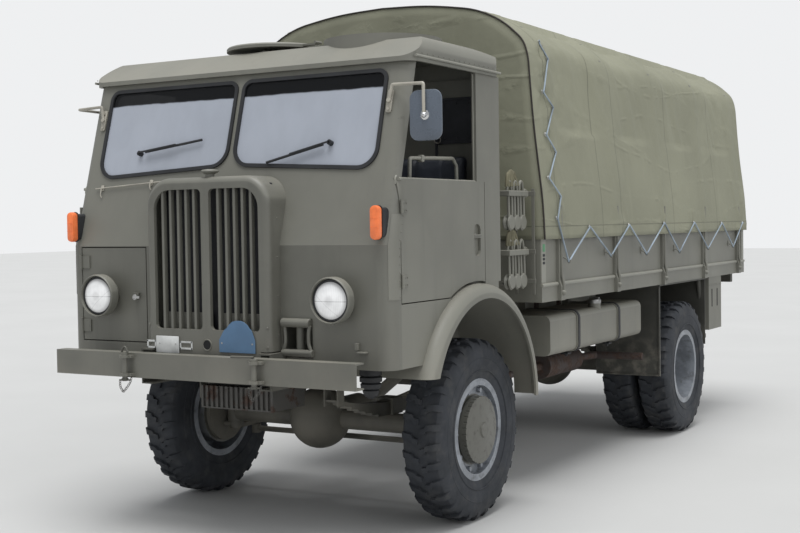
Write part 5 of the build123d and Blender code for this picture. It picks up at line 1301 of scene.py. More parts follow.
def make_lamps():
    """Both headlights, each as its bowl with a clip, its lens and the rubber ring between them."""
    for side, s, body in (("left", 1, "chassis"), ("right", -1, "front_hatch")):
        place = Vector((s * LAMP.x, LAMP.y, LAMP.z))
        bowl = spin("bowl", BOWL, place, -Y_AXIS, steps=64)
        clip = block("clip", place + Vector((0, -0.094, -0.1165)), (0.014, 0.022, 0.008), 0.002)
        assemble(f"headlight_bowl_{side}", [bowl, clip], "paint_shaded", body, stands_for=[f"headlight_{side}"])
        lens = spin(f"headlight_lens_{side}", LENS, place, -Y_AXIS, steps=64)
        dress(lens, "lamp_glass", body)
        dress(spin(f"headlight_gasket_{side}", GASKET, place, -Y_AXIS, steps=64), "rubber", body)


def make_signals():
    """Amber turn signals on dark feet at the front corners."""
    feet = []
    lenses = []
    for s in (1, -1):
        at = Vector((s * SIGNAL.x, SIGNAL.y, SIGNAL.z))
        foot, gasket, lens = [plate(name, at + Vector((0, -out, 0)), size, radius, -Y_AXIS, bevel)
                              for name, out, size, radius, bevel in SIGNAL_PARTS]
        feet += [foot, gasket]
        ribs = [at + Vector((0, -0.088, z)) for z in (-0.022, 0.022)]
        lenses += [lens, *(block("rib", place, (0.040, 0.003, 0.003), 0.001) for place in ribs)]
    assemble("turn_signal_feet", feet, "black")
    assemble("turn_signal_lenses", lenses, "amber", stands_for=["turn_signals"])


def make_mirrors():
    """Mirror heads on bent arms, with a ball joint at the back of each head."""
    cases = []
    glasses = []
    arms = []
    joints = []
    right_root = Vector((-ARM_ROOT.x, ARM_ROOT.y, ARM_ROOT.z))
    right_bend = Vector((-ARM_BEND.x, ARM_BEND.y, ARM_BEND.z))
    left = (ARM_ROOT, ARM_BEND, Vector((LEFT_HEAD.x, LEFT_HEAD.y, 2.371)), LEFT_HEAD)
    right = (right_root, right_bend, Vector((RIGHT_HEAD.x, ARM_BEND.y + 0.020, 2.379)),
             Vector((RIGHT_HEAD.x, RIGHT_HEAD.y, 2.371)), RIGHT_HEAD)
    for s, path, facing in ((1, left, Y_AXIS), (-1, right, -X_AXIS)):
        head = path[-1]
        cases.append(plate("case", head + facing * 0.023, (0.180, 0.250, 0.020), 0.045, facing, 0.008))
        glasses.append(plate("glass", head + facing * 0.0345, (0.168, 0.238, 0.003), 0.040, facing, 0.001))
        arms.append(tube("arm", ends_kept(path), 0.0085, sides=8))
        cup = [(0.016, 0.0), (0.016, 0.026), (0.010, 0.024), (0.004, 0.014), (0.002, 0.0)]
        joints.append(spin("cup", cup, head, facing, steps=24))
        joints.append(ball("ball", head, 0.015, facing))
        joints.append(drum("screw", head - facing * 0.012, 0.006, 0.012, facing, 0.001, sides=12))
        root = Vector((s * ARM_ROOT.x, slope_y(2.300), 2.300))
        arms.append(plate("foot", root + SLOPE_OUT * 0.006, (0.030, 0.120, 0.010), 0.007, SLOPE_OUT))
        arms.append(drum("socket", root + SLOPE_OUT * 0.014, 0.012, 0.020, SLOPE_OUT, 0.002, sides=20))
        for z in (-0.042, 0.042):
            spot = Vector((s * ARM_ROOT.x, slope_y(2.300 + z), 2.300 + z))
            arms.append(drum("bolt", spot + SLOPE_OUT * 0.013, 0.009, 0.008, SLOPE_OUT, 0.001, sides=6))
    assemble("mirror_cases", cases, "mirror_back", stands_for=["mirrors"])
    assemble("mirror_glasses", glasses, "mirror")
    assemble("mirror_arms", arms, "pale_metal")
    assemble("mirror_joints", joints, "chrome")


class TRUCK_OT_lamps(bpy.types.Operator):
    """Makes the headlights, turn signals and mirrors."""

    bl_idname = "truck.lamps"
    bl_label = "Lamps and mirrors"

    def execute(self, context):
        make_lamps()
        make_signals()
        make_mirrors()
        return {"FINISHED"}


# Radiator housing and front wall
GRILLE_Y = AXLE_Y - 1.143
BUMPER_TOP = 1.012
CLEVIS_X = (-0.457, 0.400)
PIN_Y = AXLE_Y - 1.273
CAB_HALF = 1.065
CORNER = 0.080  # radius of the cab's front corners
PLATE_LOW = 1.306  # lower edge of the corner plates


def make_grille():
    """The dark core behind the bars, its baffle, the crank hole and two blank plates."""
    core = [block("core", (0, GRILLE_Y + 0.105, 1.505), (0.720, 0.014, 0.800), 0.004)]
    core += [block("tank", (0, GRILLE_Y + 0.098, z), (0.730, 0.024, 0.030), 0.008) for z in (1.122, 1.890)]
    assemble("radiator_core", core, "radiator")
    baffle = [block("baffle", (s * 0.186, GRILLE_Y + 0.070, 1.170), (0.322, 0.006, 0.110), 0.002)
              for s in (1, -1)]
    assemble("radiator_baffle", baffle, "paint_shaded")

    hole = Vector((0.002, GRILLE_Y, 1.061))
    lip = [(-0.001, 0.024), (0.003, 0.025), (0.004, 0.030), (-0.001, 0.032)]
    dress(spin("crank_hole_rim", lip, hole, -Y_AXIS, steps=32), "paint_shaded")
    # A nearly black disc in the crank hole: painted shade
    cup = [(0.0005, 0.0), (0.0015, 0.0245), (-0.002, 0.0245), (-0.002, 0.0)]
    dark = spin("crank_hole", cup, hole, -Y_AXIS, steps=32)
    dress(dark, "hollow")

    shape = [(0.319, 1.027), (0.319, 1.093), (0.299, 1.144), (0.285, 1.156), (0.272, 1.172), (0.252, 1.187),
             (0.228, 1.194), (0.199, 1.194), (0.172, 1.187), (0.152, 1.172), (0.136, 1.154), (0.118, 1.141),
             (0.087, 1.093), (0.087, 1.027)]
    blank = cut_plate("number_plate_blank", shape, GRILLE_Y - 0.008, 0.003)
    dress(blank, "blue_plate")
    screws = [drum("screw", (x, GRILLE_Y - 0.008, z), 0.005, 0.003, Y_AXIS, 0.001, sides=10)
              for x, z in ((0.105, 1.075), (0.301, 1.075))]
    x0, x1 = -0.407, -0.096
    arms = []
    for low, high in ((x0, -0.345), (-0.180, x1)):
        middle = (low + high) / 2
        for z in (1.037, 1.071):
            arms.append(block("arm", (middle, GRILLE_Y - 0.003, z), (high - low, 0.004, 0.010), 0.001))
        for x in (low + 0.004, high - 0.004):
            arms.append(block("arm_end", (x, GRILLE_Y - 0.003, 1.054), (0.009, 0.004, 0.044), 0.001))
    holder = plate("holder", (-0.262, GRILLE_Y - 0.007, 1.056), (0.156, 0.090, 0.004), 0.004, -Y_AXIS)
    screws += [drum("screw", (x, GRILLE_Y - 0.010, 1.060), 0.004, 0.004, Y_AXIS, 0.001, sides=10)
               for x in (-0.315, -0.205)]
    assemble("plate_holder", [holder, *arms], "pale_plate")
    assemble("plate_screws", screws, "bare")

    heads = [(s * 0.392, GRILLE_Y + 0.002, z) for s in (1, -1) for z in (1.06, 1.16)]
    made = [bolts("bolts", heads, -Y_AXIS, 0.007, 0.005)]
    for s in (1, -1):
        heads = [(s * 0.4045, CAB_FRONT_Y - 0.022, z) for z in (1.12, 1.32, 1.52, 1.72)]
        made.append(bolts("bolts", heads, X_AXIS * s, 0.006, 0.006))
    assemble("housing_bolts", made, "paint_shaded")


def make_step():
    """The step below the left headlight: a recess with a stout upper and lower rung and waisted straps."""
    x0, x1 = 0.415, 0.600
    y0 = CAB_FRONT_Y
    depth = 0.148
    middle = (x0 + x1) / 2
    width = x1 - x0
    inner = y0 + depth / 2 + 0.014
    run = depth - 0.030
    walls = [block("back", (middle, y0 + depth, 1.122), (width + 0.008, 0.006, 0.176), 0.001),
             block("top", (middle, inner, 1.208), (width + 0.008, run, 0.005), 0.001),
             block("floor", (middle, inner, 1.038), (width + 0.008, run, 0.005), 0.001)]
    walls += [block("side", (x, inner, 1.123), (0.005, run, 0.172), 0.001) for x in (x0 - 0.003, x1 + 0.003)]
    walls.append(drum("post", (middle + 0.004, y0 + 0.020, 1.110), 0.021, 0.150, Z_AXIS, 0.003, sides=24))
    assemble("step_recess", walls, "paint_shaded", stands_for=["front_step"])
    rungs = [drum("upper", (0.508, y0 - 0.012, 1.184), 0.0235, 0.176, X_AXIS, 0.006, sides=28),
             drum("lower", (0.514, y0 - 0.012, 1.030), 0.0185, 0.190, X_AXIS, 0.005, sides=28)]
    for x, wider in ((0.436, -1), (0.590, 1)):
        line = [(x + wider * 0.004, y0 - 0.012, 1.172), (x - wider * 0.004, y0 - 0.014, 1.150),
                (x - wider * 0.006, y0 - 0.014, 1.110), (x - wider * 0.005, y0 - 0.014, 1.068),
                (x + wider * 0.012, y0 - 0.013, 1.034)]
        rungs.append(tube("strap", line, 0.0095, sides=8))
    assemble("step_rungs", rungs, "paint_shaded")


def make_front_details():
    """Tow pin handles and chains, wire hooks below the right pane, small brackets and the hatch's latch."""
    low = 0.864  # the pins' lower ends
    # A chain's way from a pin's lower end and back
    way = ((-0.030, -0.006, 0.002), (-0.026, -0.010, -0.030), (-0.004, -0.012, -0.058),
           (0.018, -0.008, -0.036), (0.036, 0.002, -0.006), (0.038, 0.012, 0.030))
    parts = []
    links = []
    for x in CLEVIS_X:
        if x > 0:
            parts.append(bar("handle", (x, PIN_Y, BUMPER_TOP + 0.012),
                             (x - 0.140, PIN_Y - 0.004, BUMPER_TOP + 0.010), 0.0065))
        else:
            loop = [(x - 0.020, PIN_Y, BUMPER_TOP + 0.006), (x - 0.010, PIN_Y, BUMPER_TOP + 0.034),
                    (x + 0.012, PIN_Y, BUMPER_TOP + 0.036), (x + 0.022, PIN_Y, BUMPER_TOP + 0.006)]
            parts.append(tube("handle", loop, 0.0060, sides=8))
        parts.append(drum("collar", (x, PIN_Y, low + 0.008), 0.019, 0.012, Z_AXIS, 0.002, sides=20))
        parts.append(bar("cotter", (x - 0.034, PIN_Y - 0.006, low + 0.004),
                         (x + 0.034, PIN_Y + 0.004, low + 0.006), 0.0045, sides=6))
        points = [Vector((x + dx, PIN_Y + dy, low + dz)) for dx, dy, dz in way]
        for i, (a, b) in enumerate(zip(points, points[1:])):
            count = max(1, round((b - a).length / 0.012))
            for k in range(count):
                place = a.lerp(b, (k + 0.5) / count)
                links.append(ring("link", place, 0.0058, 0.0017, X_AXIS if (i + k) % 2 else Y_AXIS))
    assemble("tow_pin_handles", parts, "chassis")
    assemble("tow_pin_chains", links, "cast")

    wire = [(-0.933, slope_y(1.906) - 0.012, 1.906), (-0.690, slope_y(1.921) - 0.014, 1.921),
            (-0.441, slope_y(1.935) - 0.012, 1.935)]
    hooks = [tube("wire", wire, 0.0035, sides=6)]
    for x, top, low in ((-0.888, 1.908, 1.856), (-0.529, 1.930, 1.891)):
        hooks.append(tube("hook", [(x, slope_y(top) - 0.012, top), (x, slope_y(low) - 0.016, low + 0.006),
                                   (x + 0.008, slope_y(low) - 0.006, low)], 0.0035, sides=6))
        hooks.append(plate("foot", (x, slope_y(top) - 0.004, top), (0.022, 0.034, 0.005), 0.004, SLOPE_OUT))
    assemble("screen_wire", hooks, "pale_metal")

    brackets = [block("tab", (0.872, CAB_FRONT_Y - 0.010, 1.074), (0.020, 0.020, 0.036), 0.003),
                block("tab", (0.905, CAB_FRONT_Y - 0.014, 1.046), (0.050, 0.030, 0.008), 0.002)]
    assemble("front_brackets", brackets, "paint")
    make_corner_plates()
    knob = [drum("knob", (-0.565, CAB_FRONT_Y - 0.022, 1.298), 0.016, 0.012, Y_AXIS, 0.003, sides=24),
            block("lever", (-0.550, CAB_FRONT_Y - 0.030, 1.298), (0.050, 0.006, 0.014), 0.002)]
    assemble("hatch_latch", knob, "bare", "front_hatch")


def make_corner_plates():
    """Bent plates on the cab's rounded front corners, their rivets and those under the roof's edge."""
    lean = math.tan(SLOPE)
    path = [(CAB_HALF, CAB_FRONT_Y + 0.098, PLATE_LOW)]
    for i in range(7):
        angle = math.radians(8 * i)
        x = CAB_HALF - CORNER * (1 - math.cos(angle))
        path.append((x, CAB_FRONT_Y + CORNER - CORNER * math.sin(angle), PLATE_LOW))
    line = [Vector((x + 0.0015, y, z)) for x, y, z in path]
    left = strip("corner", line, [Vector((0, 0, 0.274)), Vector((0, 0.151 * lean, 0.151))], 0.0025)
    assemble("corner_plates", [left, mirrored(left, "corner_right")], "paint")
    rear = []
    for i in range(11):
        z = 1.318 + 0.0404 * i
        rear.append((1.0685, CAB_FRONT_Y + 0.090 + max(0.0, z - CREASE_Z) * lean, z))
    turn = 0.75  # how far round the corner the front row lies, in radians
    front = [(1.0655 - CORNER * (1 - math.cos(turn)), y - 0.018 - CORNER * math.sin(turn) + 0.008, z)
             for _, y, z in rear]
    under = [(1.0785, AXLE_Y - 0.770 + 0.0585 * i, 2.548) for i in range(17)]
    rows = [bolts("rivets", rear, X_AXIS, 0.0045, 0.004),
            bolts("rivets", front, Vector((math.cos(turn), -math.sin(turn), 0)), 0.0045, 0.004),
            bolts("rivets", under, X_AXIS, 0.004, 0.003)]
    left = join("rivets", rows)
    assemble("corner_rivets", [left, mirrored(left, "rivets_right")], "paint")


class TRUCK_OT_front(bpy.types.Operator):
    """Makes the radiator core, blank plates, step, tow pins and small parts of the front wall."""

    bl_idname = "truck.front"
    bl_label = "Front"

    def execute(self, context):
        make_grille()
        make_step()
        make_front_details()
        return {"FINISHED"}


# Cab sides and inside
SEAT_X = 0.700
SEAT_Y = AXLE_Y - 0.190
SEAT_TOP = 1.640
LEVER_X = (-0.05, 0.09)


def make_door_parts():
    """Gutters, pillar strips, door beads, handle levers and hinge bolts."""
    trims = []
    for s in (1, -1):
        roof_edge = [(s * 1.081, AXLE_Y - 0.785, 2.531), (s * 1.082, AXLE_Y - 0.30, 2.529),
                     (s * 1.081, AXLE_Y + 0.190, 2.527)]
        trims.append(tube("gutter", roof_edge, 0.007, sides=8))
        pillar = [(s * 1.034, slope_y(2.490) + 0.050, 2.490), (s * 1.036, slope_y(2.200) + 0.049, 2.200),
                  (s * 1.036, slope_y(1.950) + 0.048, 1.950), (s * 1.036, AXLE_Y - 0.930, 1.912),
                  (s * 1.036, AXLE_Y - 0.933, 1.880)]
        trims.append(tube("strip", ends_kept(pillar, 0.03), 0.006, sides=8))
        low, high = [(s * 1.045, AXLE_Y - 0.088, z) for z in (1.912, 2.500)]
        trims.append(bar("post_bead", low, high, 0.006))
    assemble("opening_strips", trims, "paint_highlit")
    for side, s in (("left", 1), ("right", -1)):
        front, rear = [(s * 1.051, AXLE_Y + y, 1.906) for y in (-0.926, -0.004)]
        assemble(f"door_bead_{side}", [bar("bead", front, rear, 0.009)], "paint_highlit", f"door_{side}")
        parts = [block("lever", (s * 1.063, AXLE_Y - 0.082, 1.609), (0.010, 0.080, 0.016), 0.004, segments=3),
                 drum("boss", (s * 1.058, AXLE_Y - 0.114, 1.609), 0.014, 0.018, X_AXIS, 0.003, sides=24)]
        heads = [(s * 1.0745, AXLE_Y - 0.933 + y, z + dz)
                 for z in (1.396, 1.768) for dz in (-0.018, 0.018) for y in (0.022, 0.045)]
        parts += [drum("bolt", head, 0.0055, 0.004, X_AXIS, 0.001, sides=6) for head in heads]
        assemble(f"door_handle_{side}", parts, "paint_shaded", f"door_{side}")


def seat_pad(name, centre, size, cap):
    """A stuffed pad: a rounded form blown up a little by a cloth simulation, with sewn seams after it."""
    pad = block(name, centre, [s - 2 * cap * 0.8 for s in size], min(size) * 0.30, segments=4)
    activate(pad)
    remesh = pad.modifiers.new("remesh", "REMESH")
    remesh.mode = "VOXEL"
    remesh.voxel_size = 0.009
    bpy.ops.object.modifier_apply(modifier="remesh")
    start = [vertex.co.copy() for vertex in pad.data.vertices]
    blow = pad.modifiers.new("blow", "CLOTH")
    blow.settings.use_pressure = True
    blow.settings.uniform_pressure_force = 4.0
    blow.settings.effector_weights.gravity = 0
    blow.settings.tension_stiffness = 12
    for number in range(1, 21):
        bpy.context.scene.frame_set(number)
    bpy.ops.object.modifier_apply(modifier="blow")
    bpy.context.scene.frame_set(1)
    for vertex, was in zip(pad.data.vertices, start):
        move = vertex.co - was
        if move.length > cap:
            move = move.normalized() * cap
        vertex.co = was + move
    middle = Vector(centre)
    half = Vector(size) / 2
    for vertex in pad.data.vertices:
        across = abs(vertex.co.x - middle.x)
        seam = math.exp(-((across - half.x * 0.36) / 0.008) ** 2)
        normal = vertex.normal
        if across / half.x < 0.93:
            vertex.co -= normal * 0.006 * seam
        vertex.co -= normal * 0.0025 * noise.noise(vertex.co * 14)
    return smooth(pad, 60)


def make_seats():
    """Two stuffed seats on their frames, with a rail round the left one."""
    cushions = seat_pad("cushion", (SEAT_X, SEAT_Y, SEAT_TOP - 0.045), (0.480, 0.460, 0.100), 0.014)
    backs = seat_pad("back", (SEAT_X, SEAT_Y + 0.250, SEAT_TOP + 0.200), (0.480, 0.084, 0.470), 0.012)
    left = join("seat_pads_left", [cushions, backs])
    right = mirrored(left, "seat_pads_right")
    for pad, nodes in ((left, ["seats"]), (right, [])):
        dress(pad, "seat_cloth", "chassis", nodes)
    frames = []
    for s in (1, -1):
        x = s * SEAT_X
        frames.append(block("box", (x, SEAT_Y, 1.470), (0.400, 0.380, 0.200), 0.012))
        frames.append(block("pan", (x, SEAT_Y, SEAT_TOP - 0.098), (0.452, 0.430, 0.012), 0.004))
        for t in (-0.150, 0.150):
            stay = [(x + t, SEAT_Y + 0.215, SEAT_TOP - 0.095), (x + t, SEAT_Y + 0.284, SEAT_TOP + 0.02),
                    (x + t, SEAT_Y + 0.297, SEAT_TOP + 0.40)]
            frames.append(tube("stay", ends_kept(stay), 0.009, sides=8))
        frames.append(block("foot", (x, SEAT_Y, 1.366), (0.420, 0.400, 0.008), 0.002))
    assemble("seat_frames", frames, "chassis")
    x = 0.955
    way = ((-0.645, 1.930), (-0.640, 2.022), (-0.400, 2.030), (-0.165, 2.036), (-0.122, 1.995),
           (-0.112, 1.700), (-0.112, 1.370))
    rail = [(x, AXLE_Y + y, z) for y, z in way]
    bars = [tube("rail", ends_kept(rail, 0.03), 0.0105, sides=8),
            block("clip", (x, AXLE_Y - 0.520, 2.024), (0.030, 0.030, 0.038), 0.006),
            bar("front_leg", (x, AXLE_Y - 0.645, 1.935), (x, AXLE_Y - 0.645, 1.366), 0.0105)]
    assemble("seat_rail", bars, "paint_highlit")


def make_cab_inside():
    """Panels of the rear wall with bolts, the rear window's glass, pedals and levers."""
    y = AXLE_Y + 0.168
    panels = [block("panel", (s * 0.815, y, 2.272), (0.270, 0.004, 0.250), 0.002) for s in (1, -1)]
    panels += [block("rib", (s * 0.815, y, z), (0.270, 0.012, 0.014), 0.003)
               for s in (1, -1) for z in (2.398, 2.146)]
    panels += [block("rib", (s * 0.676, y, 2.10), (0.016, 0.012, 0.66), 0.003) for s in (1, -1)]
    places = [(s * x, y - 0.006, z) for s in (1, -1) for x in (0.73, 0.81, 0.89) for z in (2.372, 2.172)]
    panels.append(bolts("bolts", places, -Y_AXIS, 0.0065, 0.005))
    assemble("rear_wall_panels", panels, "cab_inside")
    rings = [ring("ring", (s * 0.690, y - 0.016, 2.166), 0.020, 0.0035, Y_AXIS) for s in (1, -1)]
    assemble("rear_wall_rings", rings, "pale_metal")
    # Its dark tint is painted shade
    pane = plate("rear_window_glass", (0, AXLE_Y + 0.184, 2.160), (0.930, 0.360, 0.005), 0.055, Y_AXIS)
    dress(pane, "dark_glass")
    edges = [(0, s * 0.166, 0.86, 0.016) for s in (1, -1)] + [(s * 0.451, 0, 0.016, 0.30) for s in (1, -1)]
    seal = [block("seal", (dx, AXLE_Y + 0.1995, 2.160 + dz), (width, 0.014, height), 0.004)
            for dx, dz, width, height in edges]
    assemble("rear_window_seal", seal, "rubber")
    levers = []
    for x in LEVER_X:
        stick = [(0.10 + x, AXLE_Y - 0.42, 1.600), (0.10 + x, AXLE_Y - 0.44, 1.72),
                 (0.13 + x, AXLE_Y - 0.47, 1.86)]
        levers.append(tube("lever", stick, 0.008, sides=8))
    levers += [ball("knob", (0.13 + x, AXLE_Y - 0.47, 1.868), 0.019) for x in LEVER_X]
    for x in (-0.70, -0.58, -0.46):
        arm = [(x, AXLE_Y + y, z) for y, z in ((-0.800, 1.190), (-0.780, 1.120), (-0.800, 1.060))]
        levers.append(block("pedal", arm[0], (0.060, 0.014, 0.085), 0.004, (math.radians(-35), 0, 0)))
        levers.append(tube("pedal_arm", arm, 0.006, sides=6))
    assemble("cab_levers", levers, "black")


class TRUCK_OT_cab(bpy.types.Operator):
    """Makes the door parts, the padded seats and the inside of the cab."""

    bl_idname = "truck.cab"
    bl_label = "Cab"

    def execute(self, context):
        make_door_parts()
        make_seats()
        make_cab_inside()
        return {"FINISHED"}


# Load bed and what hangs under it
BED_FRONT = AXLE_Y + 0.710
BED_REAR = AXLE_Y + 5.235


# Lines of a pulley's strap and hoop, from the block's x, the pulley's y and the block's top
STRAP_WAY = ((0.012, -0.022, -0.165), (0.016, -0.026, -0.300), (0.010, 0.0, -0.385), (0.016, 0.026, -0.300),
             (0.012, 0.022, -0.165))
HOOP_WAY = ((0.006, -0.026, -0.135), (0.008, -0.022, -0.088), (0.008, 0.004, -0.072), (0.006, 0.026, -0.100),
            (0.006, 0.030, -0.135))
SHEAVE = ((-0.022, 0.0), (-0.022, 0.040), (-0.014, 0.046), (0.0, 0.034), (0.014, 0.046), (0.022, 0.040),
          (0.022, 0.0))


def pulley_block(x, y, top):
    """A triple block of pulleys: cheeks that hang under a cross plate, hoops above it and a coil of rope."""
    steel = [block("cross", (x, y, top - 0.150), (0.070, 0.270, 0.034), 0.005)]
    steel.append(ring("eye", (x, y + 0.150, top - 0.148), 0.020, 0.010, X_AXIS))
    for i in (-1, 0, 1):
        at = y + i * 0.082
        strap, hoop = [[(x + dx, at + dy, top + dz) for dx, dy, dz in way] for way in (STRAP_WAY, HOOP_WAY)]
        steel.append(tube("strap", strap, 0.009, sides=8))
        steel.append(spin("sheave", SHEAVE, (x + 0.004, at, top - 0.322), X_AXIS, steps=32))
        steel.append(tube("hoop", hoop, 0.0085, sides=8))
    rope = []
    for i in range(7):
        at = y - 0.085 + 0.012 * i
        lean = 0.010 * math.sin(2.1 * i)
        line = [(x + 0.004 + lean, at - 0.030, top - 0.110),
                (x + 0.010, at - 0.034 + lean, top - 0.050 + 0.004 * i),
                (x + 0.004, at + 0.004, top - 0.006 - abs(i - 3) * 0.006),
                (x - 0.004, at + 0.040, top - 0.048), (x + 0.004 - lean, at + 0.058, top - 0.105)]
        rope.append(tube("turn", line, 0.0085, sides=6))
    return steel, rope


def make_rack():
    """Two triple pulley blocks with their ropes, one above the other on the left behind the cab."""
    steel = []
    ropes = []
    for top in (2.000, 1.650):
        more, rope = pulley_block(1.010, AXLE_Y + 0.505, top)
        steel += more
        ropes += rope
    y = AXLE_Y + 0.668
    rods = [block("upright", (x, y, 1.560), (0.020, 0.008, 0.640), 0.002) for x in (0.945, 1.060)]
    for z in (1.850, 1.500, 1.320):
        rods.append(block("arm", (1.000, y, z), (0.150, 0.010, 0.030), 0.003))
        rods.append(bar("peg", (0.975, AXLE_Y + 0.705, z), (0.975, AXLE_Y + 0.380, z), 0.011))
    assemble("pulley_blocks", steel, "paint", stands_for=["rack_bundles"])
    assemble("pulley_ropes", ropes, "rope")
    assemble("pulley_rack", rods, "paint_shaded", stands_for=["tool_rack"])


def make_bed_parts():
    """Ribs, corners, cappings and straps of the side boards, blank marks, and fittings of tank and guards."""
    ribs = []
    marks = [BED_FRONT, *BOW_Y, BED_REAR]
    for s in (1, -1):
        for a, b in zip(marks, marks[1:]):
            low = a + (0.032 if a != BED_FRONT else 0.0)
            high = b - (0.032 if b != BED_REAR else 0.002)
            place = (s * 1.092, (low + high) / 2, 1.292)
            ribs.append(drum("rib", place, 0.013, high - low, Y_AXIS, 0.004, sides=16))
        for y in (BED_FRONT + 0.034, BED_REAR - 0.040):
            ribs.append(block("corner", (s * 1.088, y, 1.552), (0.012, 0.066, 0.492), 0.003))
        size = (0.034, BED_REAR - BED_FRONT - 0.03, 0.008)
        ribs.append(block("capping", (s * 1.073, (BED_FRONT + BED_REAR) / 2, 1.802), size, 0.003))
    assemble("board_ribs", ribs, "paint_highlit")
    lips = []
    for y in BOW_Y:
        for s in (1, -1):
            strap = [(s * x, y, z) for x, z in ((1.108, 1.780), (1.110, 1.420), (1.112, 1.345),
                                                (1.122, 1.296), (1.1245, 1.235))]
            lips.append(tube("strap", ends_kept(strap, 0.02), 0.010, sides=8))
    assemble("board_straps", lips, "paint")

    mark_x, mark_y = 1.0945, AXLE_Y + 0.745
    green = plate("blank_mark_green", (mark_x, mark_y, 1.520), (0.036, 0.046, 0.001), 0.002, X_AXIS, 0.0002)
    dress(green, "green")
    dark = [plate("mark", (mark_x, mark_y, z), (0.034, 0.016, 0.001), 0.002, X_AXIS, 0.0002)
            for z in (1.475, 1.452, 1.428)]
    assemble("blank_marks_dark", dark, "rubber")

    x_mid, z_mid = 0.845, 0.9625
    outline = []
    for right, up, start in ((1, 1, 0), (-1, 1, 90), (-1, -1, 180), (1, -1, 270)):
        for i in range(5):
            angle = math.radians(start + 22.5 * i)
            outline.append((x_mid + right * 0.160 + 0.0545 * math.cos(angle),
                            z_mid + up * 0.0825 + 0.0545 * math.sin(angle)))
    straps = []
    for y in (AXLE_Y + 1.380, AXLE_Y + 2.120):
        straps.append(belt("strap", outline, y, 0.030, 0.003))
        straps.append(block("clamp", (x_mid + 0.120, y, z_mid - 0.150), (0.050, 0.060, 0.014), 0.004))
        straps.append(drum("bolt", (x_mid + 0.120, y, z_mid - 0.162), 0.009, 0.020, Z_AXIS, 0.002, sides=6))
    assemble("tank_straps", straps, "rubber")
    cap_profile = [(0.0, 0.0), (0.0, 0.044), (0.018, 0.047), (0.026, 0.045), (0.030, 0.036), (0.031, 0.0)]
    cap = [spin("cap", cap_profile, (1.000, AXLE_Y + 1.800, 1.116), Z_AXIS, steps=24),
           block("grip", (1.000, AXLE_Y + 1.800, 1.152), (0.074, 0.014, 0.014), 0.004)]
    assemble("tank_cap", cap, "bare")

    # Nearly black slots: painted shade in the locker's vents
    slots = [block("slot", (s * 1.0905, AXLE_Y + y, 1.010), (0.004, 0.016, 0.150), 0.001)
             for s in (1, -1) for y in (4.250, 4.400)]
    assemble("locker_slots", slots, "hollow")
    frames = []
    for s in (1, -1):
        frames.append(block("door_edge", (s * 1.091, AXLE_Y + 4.340, 1.120), (0.006, 0.350, 0.006), 0.002))
        frames.append(block("guard_edge", (s * 1.094, AXLE_Y + 2.866, 0.833), (0.014, 0.012, 0.670), 0.003))
        frames.append(block("guard_fold", (s * 0.845, AXLE_Y + 2.866, 0.502), (0.500, 0.012, 0.012), 0.003))
        frames.append(block("stay_foot", (s * 1.050, AXLE_Y + 4.080, 0.700), (0.050, 0.100, 0.040), 0.008))
        top, foot = (s * 1.050, AXLE_Y + 3.990, 1.180), (s * 1.050, AXLE_Y + 4.105, 0.700)
        frames.append(bar("stay", top, foot, 0.021))
    assemble("guard_edges", frames, "guard")


def belt(name, outline, y, width, thickness):
    """A flat belt round an outline of (x, z), its middle at y."""
    deselect()
    bpy.ops.mesh.primitive_circle_add(vertices=len(outline), radius=1, fill_type="NOTHING")
    piece = bpy.context.object
    for vertex, (x, z) in zip(piece.data.vertices, outline):
        vertex.co = (x, y - width / 2, z)
    edit_all()
    extrude((0, width, 0))
    face_outwards()
    leave_edit()
    thicken(piece, thickness, 1)
    return smooth(settle(piece, name), 40)


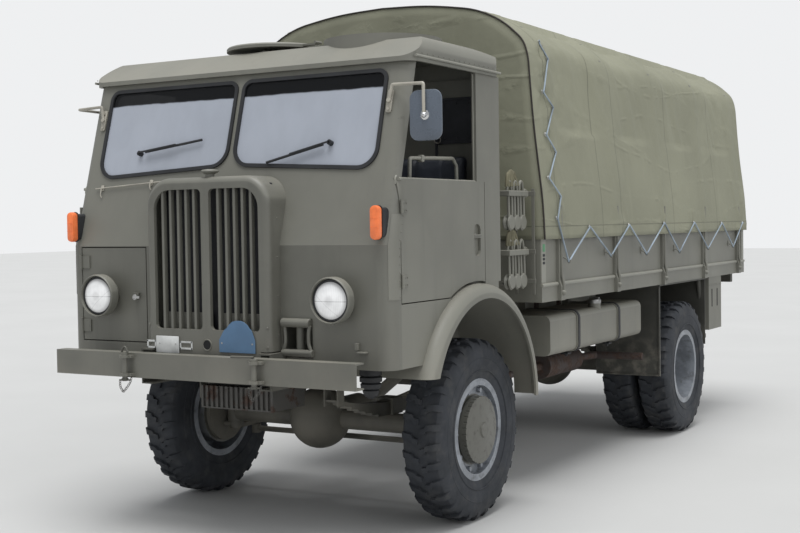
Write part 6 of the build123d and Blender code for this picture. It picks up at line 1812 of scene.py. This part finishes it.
def make_rear():
    """Rear lamps' rims and lenses, and the tailgate's battens and latches."""
    reds = []
    ambers = []
    rims = []
    rim = [(0.0, 0.0), (0.0, 0.036), (0.006, 0.036), (0.009, 0.033), (0.004, 0.031), (0.004, 0.0)]
    lens = [(0.003, 0.0), (0.003, 0.030), (0.010, 0.028), (0.014, 0.018), (0.016, 0.0)]
    for s in (1, -1):
        for x, group in ((0.940, reds), (0.862, ambers)):
            centre = Vector((s * x, BED_REAR + 0.010, 1.143))
            rims.append(spin("rim", rim, centre, Y_AXIS, steps=28))
            group.append(spin("lens", lens, centre, Y_AXIS, steps=28))
    assemble("rear_lamp_rims", rims, "black")
    assemble("rear_lamp_red", reds, "red")
    assemble("rear_lamp_amber", ambers, "amber")
    battens = [block("batten", (x, BED_REAR + 0.004, 1.545), (0.050, 0.010, 0.490), 0.003)
               for x in (-0.960, -0.400, 0.400, 0.960)]
    battens += [block("edge", (0, BED_REAR + 0.004, z), (2.080, 0.012, 0.024), 0.004) for z in (1.315, 1.780)]
    assemble("tailgate_battens", battens, "paint", "tailgate")
    latches = []
    for s in (1, -1):
        x = s * 1.035
        latches.append(block("latch", (x, BED_REAR + 0.010, 1.700), (0.030, 0.016, 0.080), 0.004))
        latches.append(drum("pin", (x, BED_REAR + 0.012, 1.750), 0.007, 0.060, Z_AXIS, 0.002, sides=16))
    assemble("tailgate_latches", latches, "cast", "tailgate")


class TRUCK_OT_bed(bpy.types.Operator):
    """Makes the pulley blocks, the side boards' fittings, the tank's fittings and the rear."""

    bl_idname = "truck.bed"
    bl_label = "Bed"

    def execute(self, context):
        make_rack()
        make_bed_parts()
        make_rear()
        return {"FINISHED"}


class TRUCK_PT_panel(bpy.types.Panel):
    """Lists the truck's sizes, colours and making steps."""

    bl_label = "Truck"
    bl_idname = "TRUCK_PT_panel"
    bl_space_type = "VIEW_3D"
    bl_region_type = "UI"
    bl_category = "Truck"

    def draw(self, context):
        for group in (context.scene.truck_look, context.scene.truck_tyres):
            for name in group.__annotations__:
                self.layout.prop(group, name)
        for step in STEPS:
            self.layout.operator(step.bl_idname)


STEPS = (TRUCK_OT_stage, TRUCK_OT_finishes, TRUCK_OT_tyres, TRUCK_OT_cover, TRUCK_OT_lamps, TRUCK_OT_front,
         TRUCK_OT_cab, TRUCK_OT_bed)
CLASSES = (TruckLook, TruckTyres, *STEPS, TRUCK_PT_panel)


def register():
    for item in CLASSES:
        bpy.utils.register_class(item)
    bpy.types.Scene.truck_look = bpy.props.PointerProperty(type=TruckLook)
    bpy.types.Scene.truck_tyres = bpy.props.PointerProperty(type=TruckTyres)


def unregister():
    del bpy.types.Scene.truck_look
    del bpy.types.Scene.truck_tyres
    for item in reversed(CLASSES):
        bpy.utils.unregister_class(item)


def main():
    register()
    bpy.ops.truck.stage()
    bpy.ops.truck.finishes()
    bpy.ops.truck.tyres()
    bpy.ops.truck.cover()
    bpy.ops.truck.lamps()
    bpy.ops.truck.front()
    bpy.ops.truck.cab()
    bpy.ops.truck.bed()


if __name__ == "__main__":
    main()
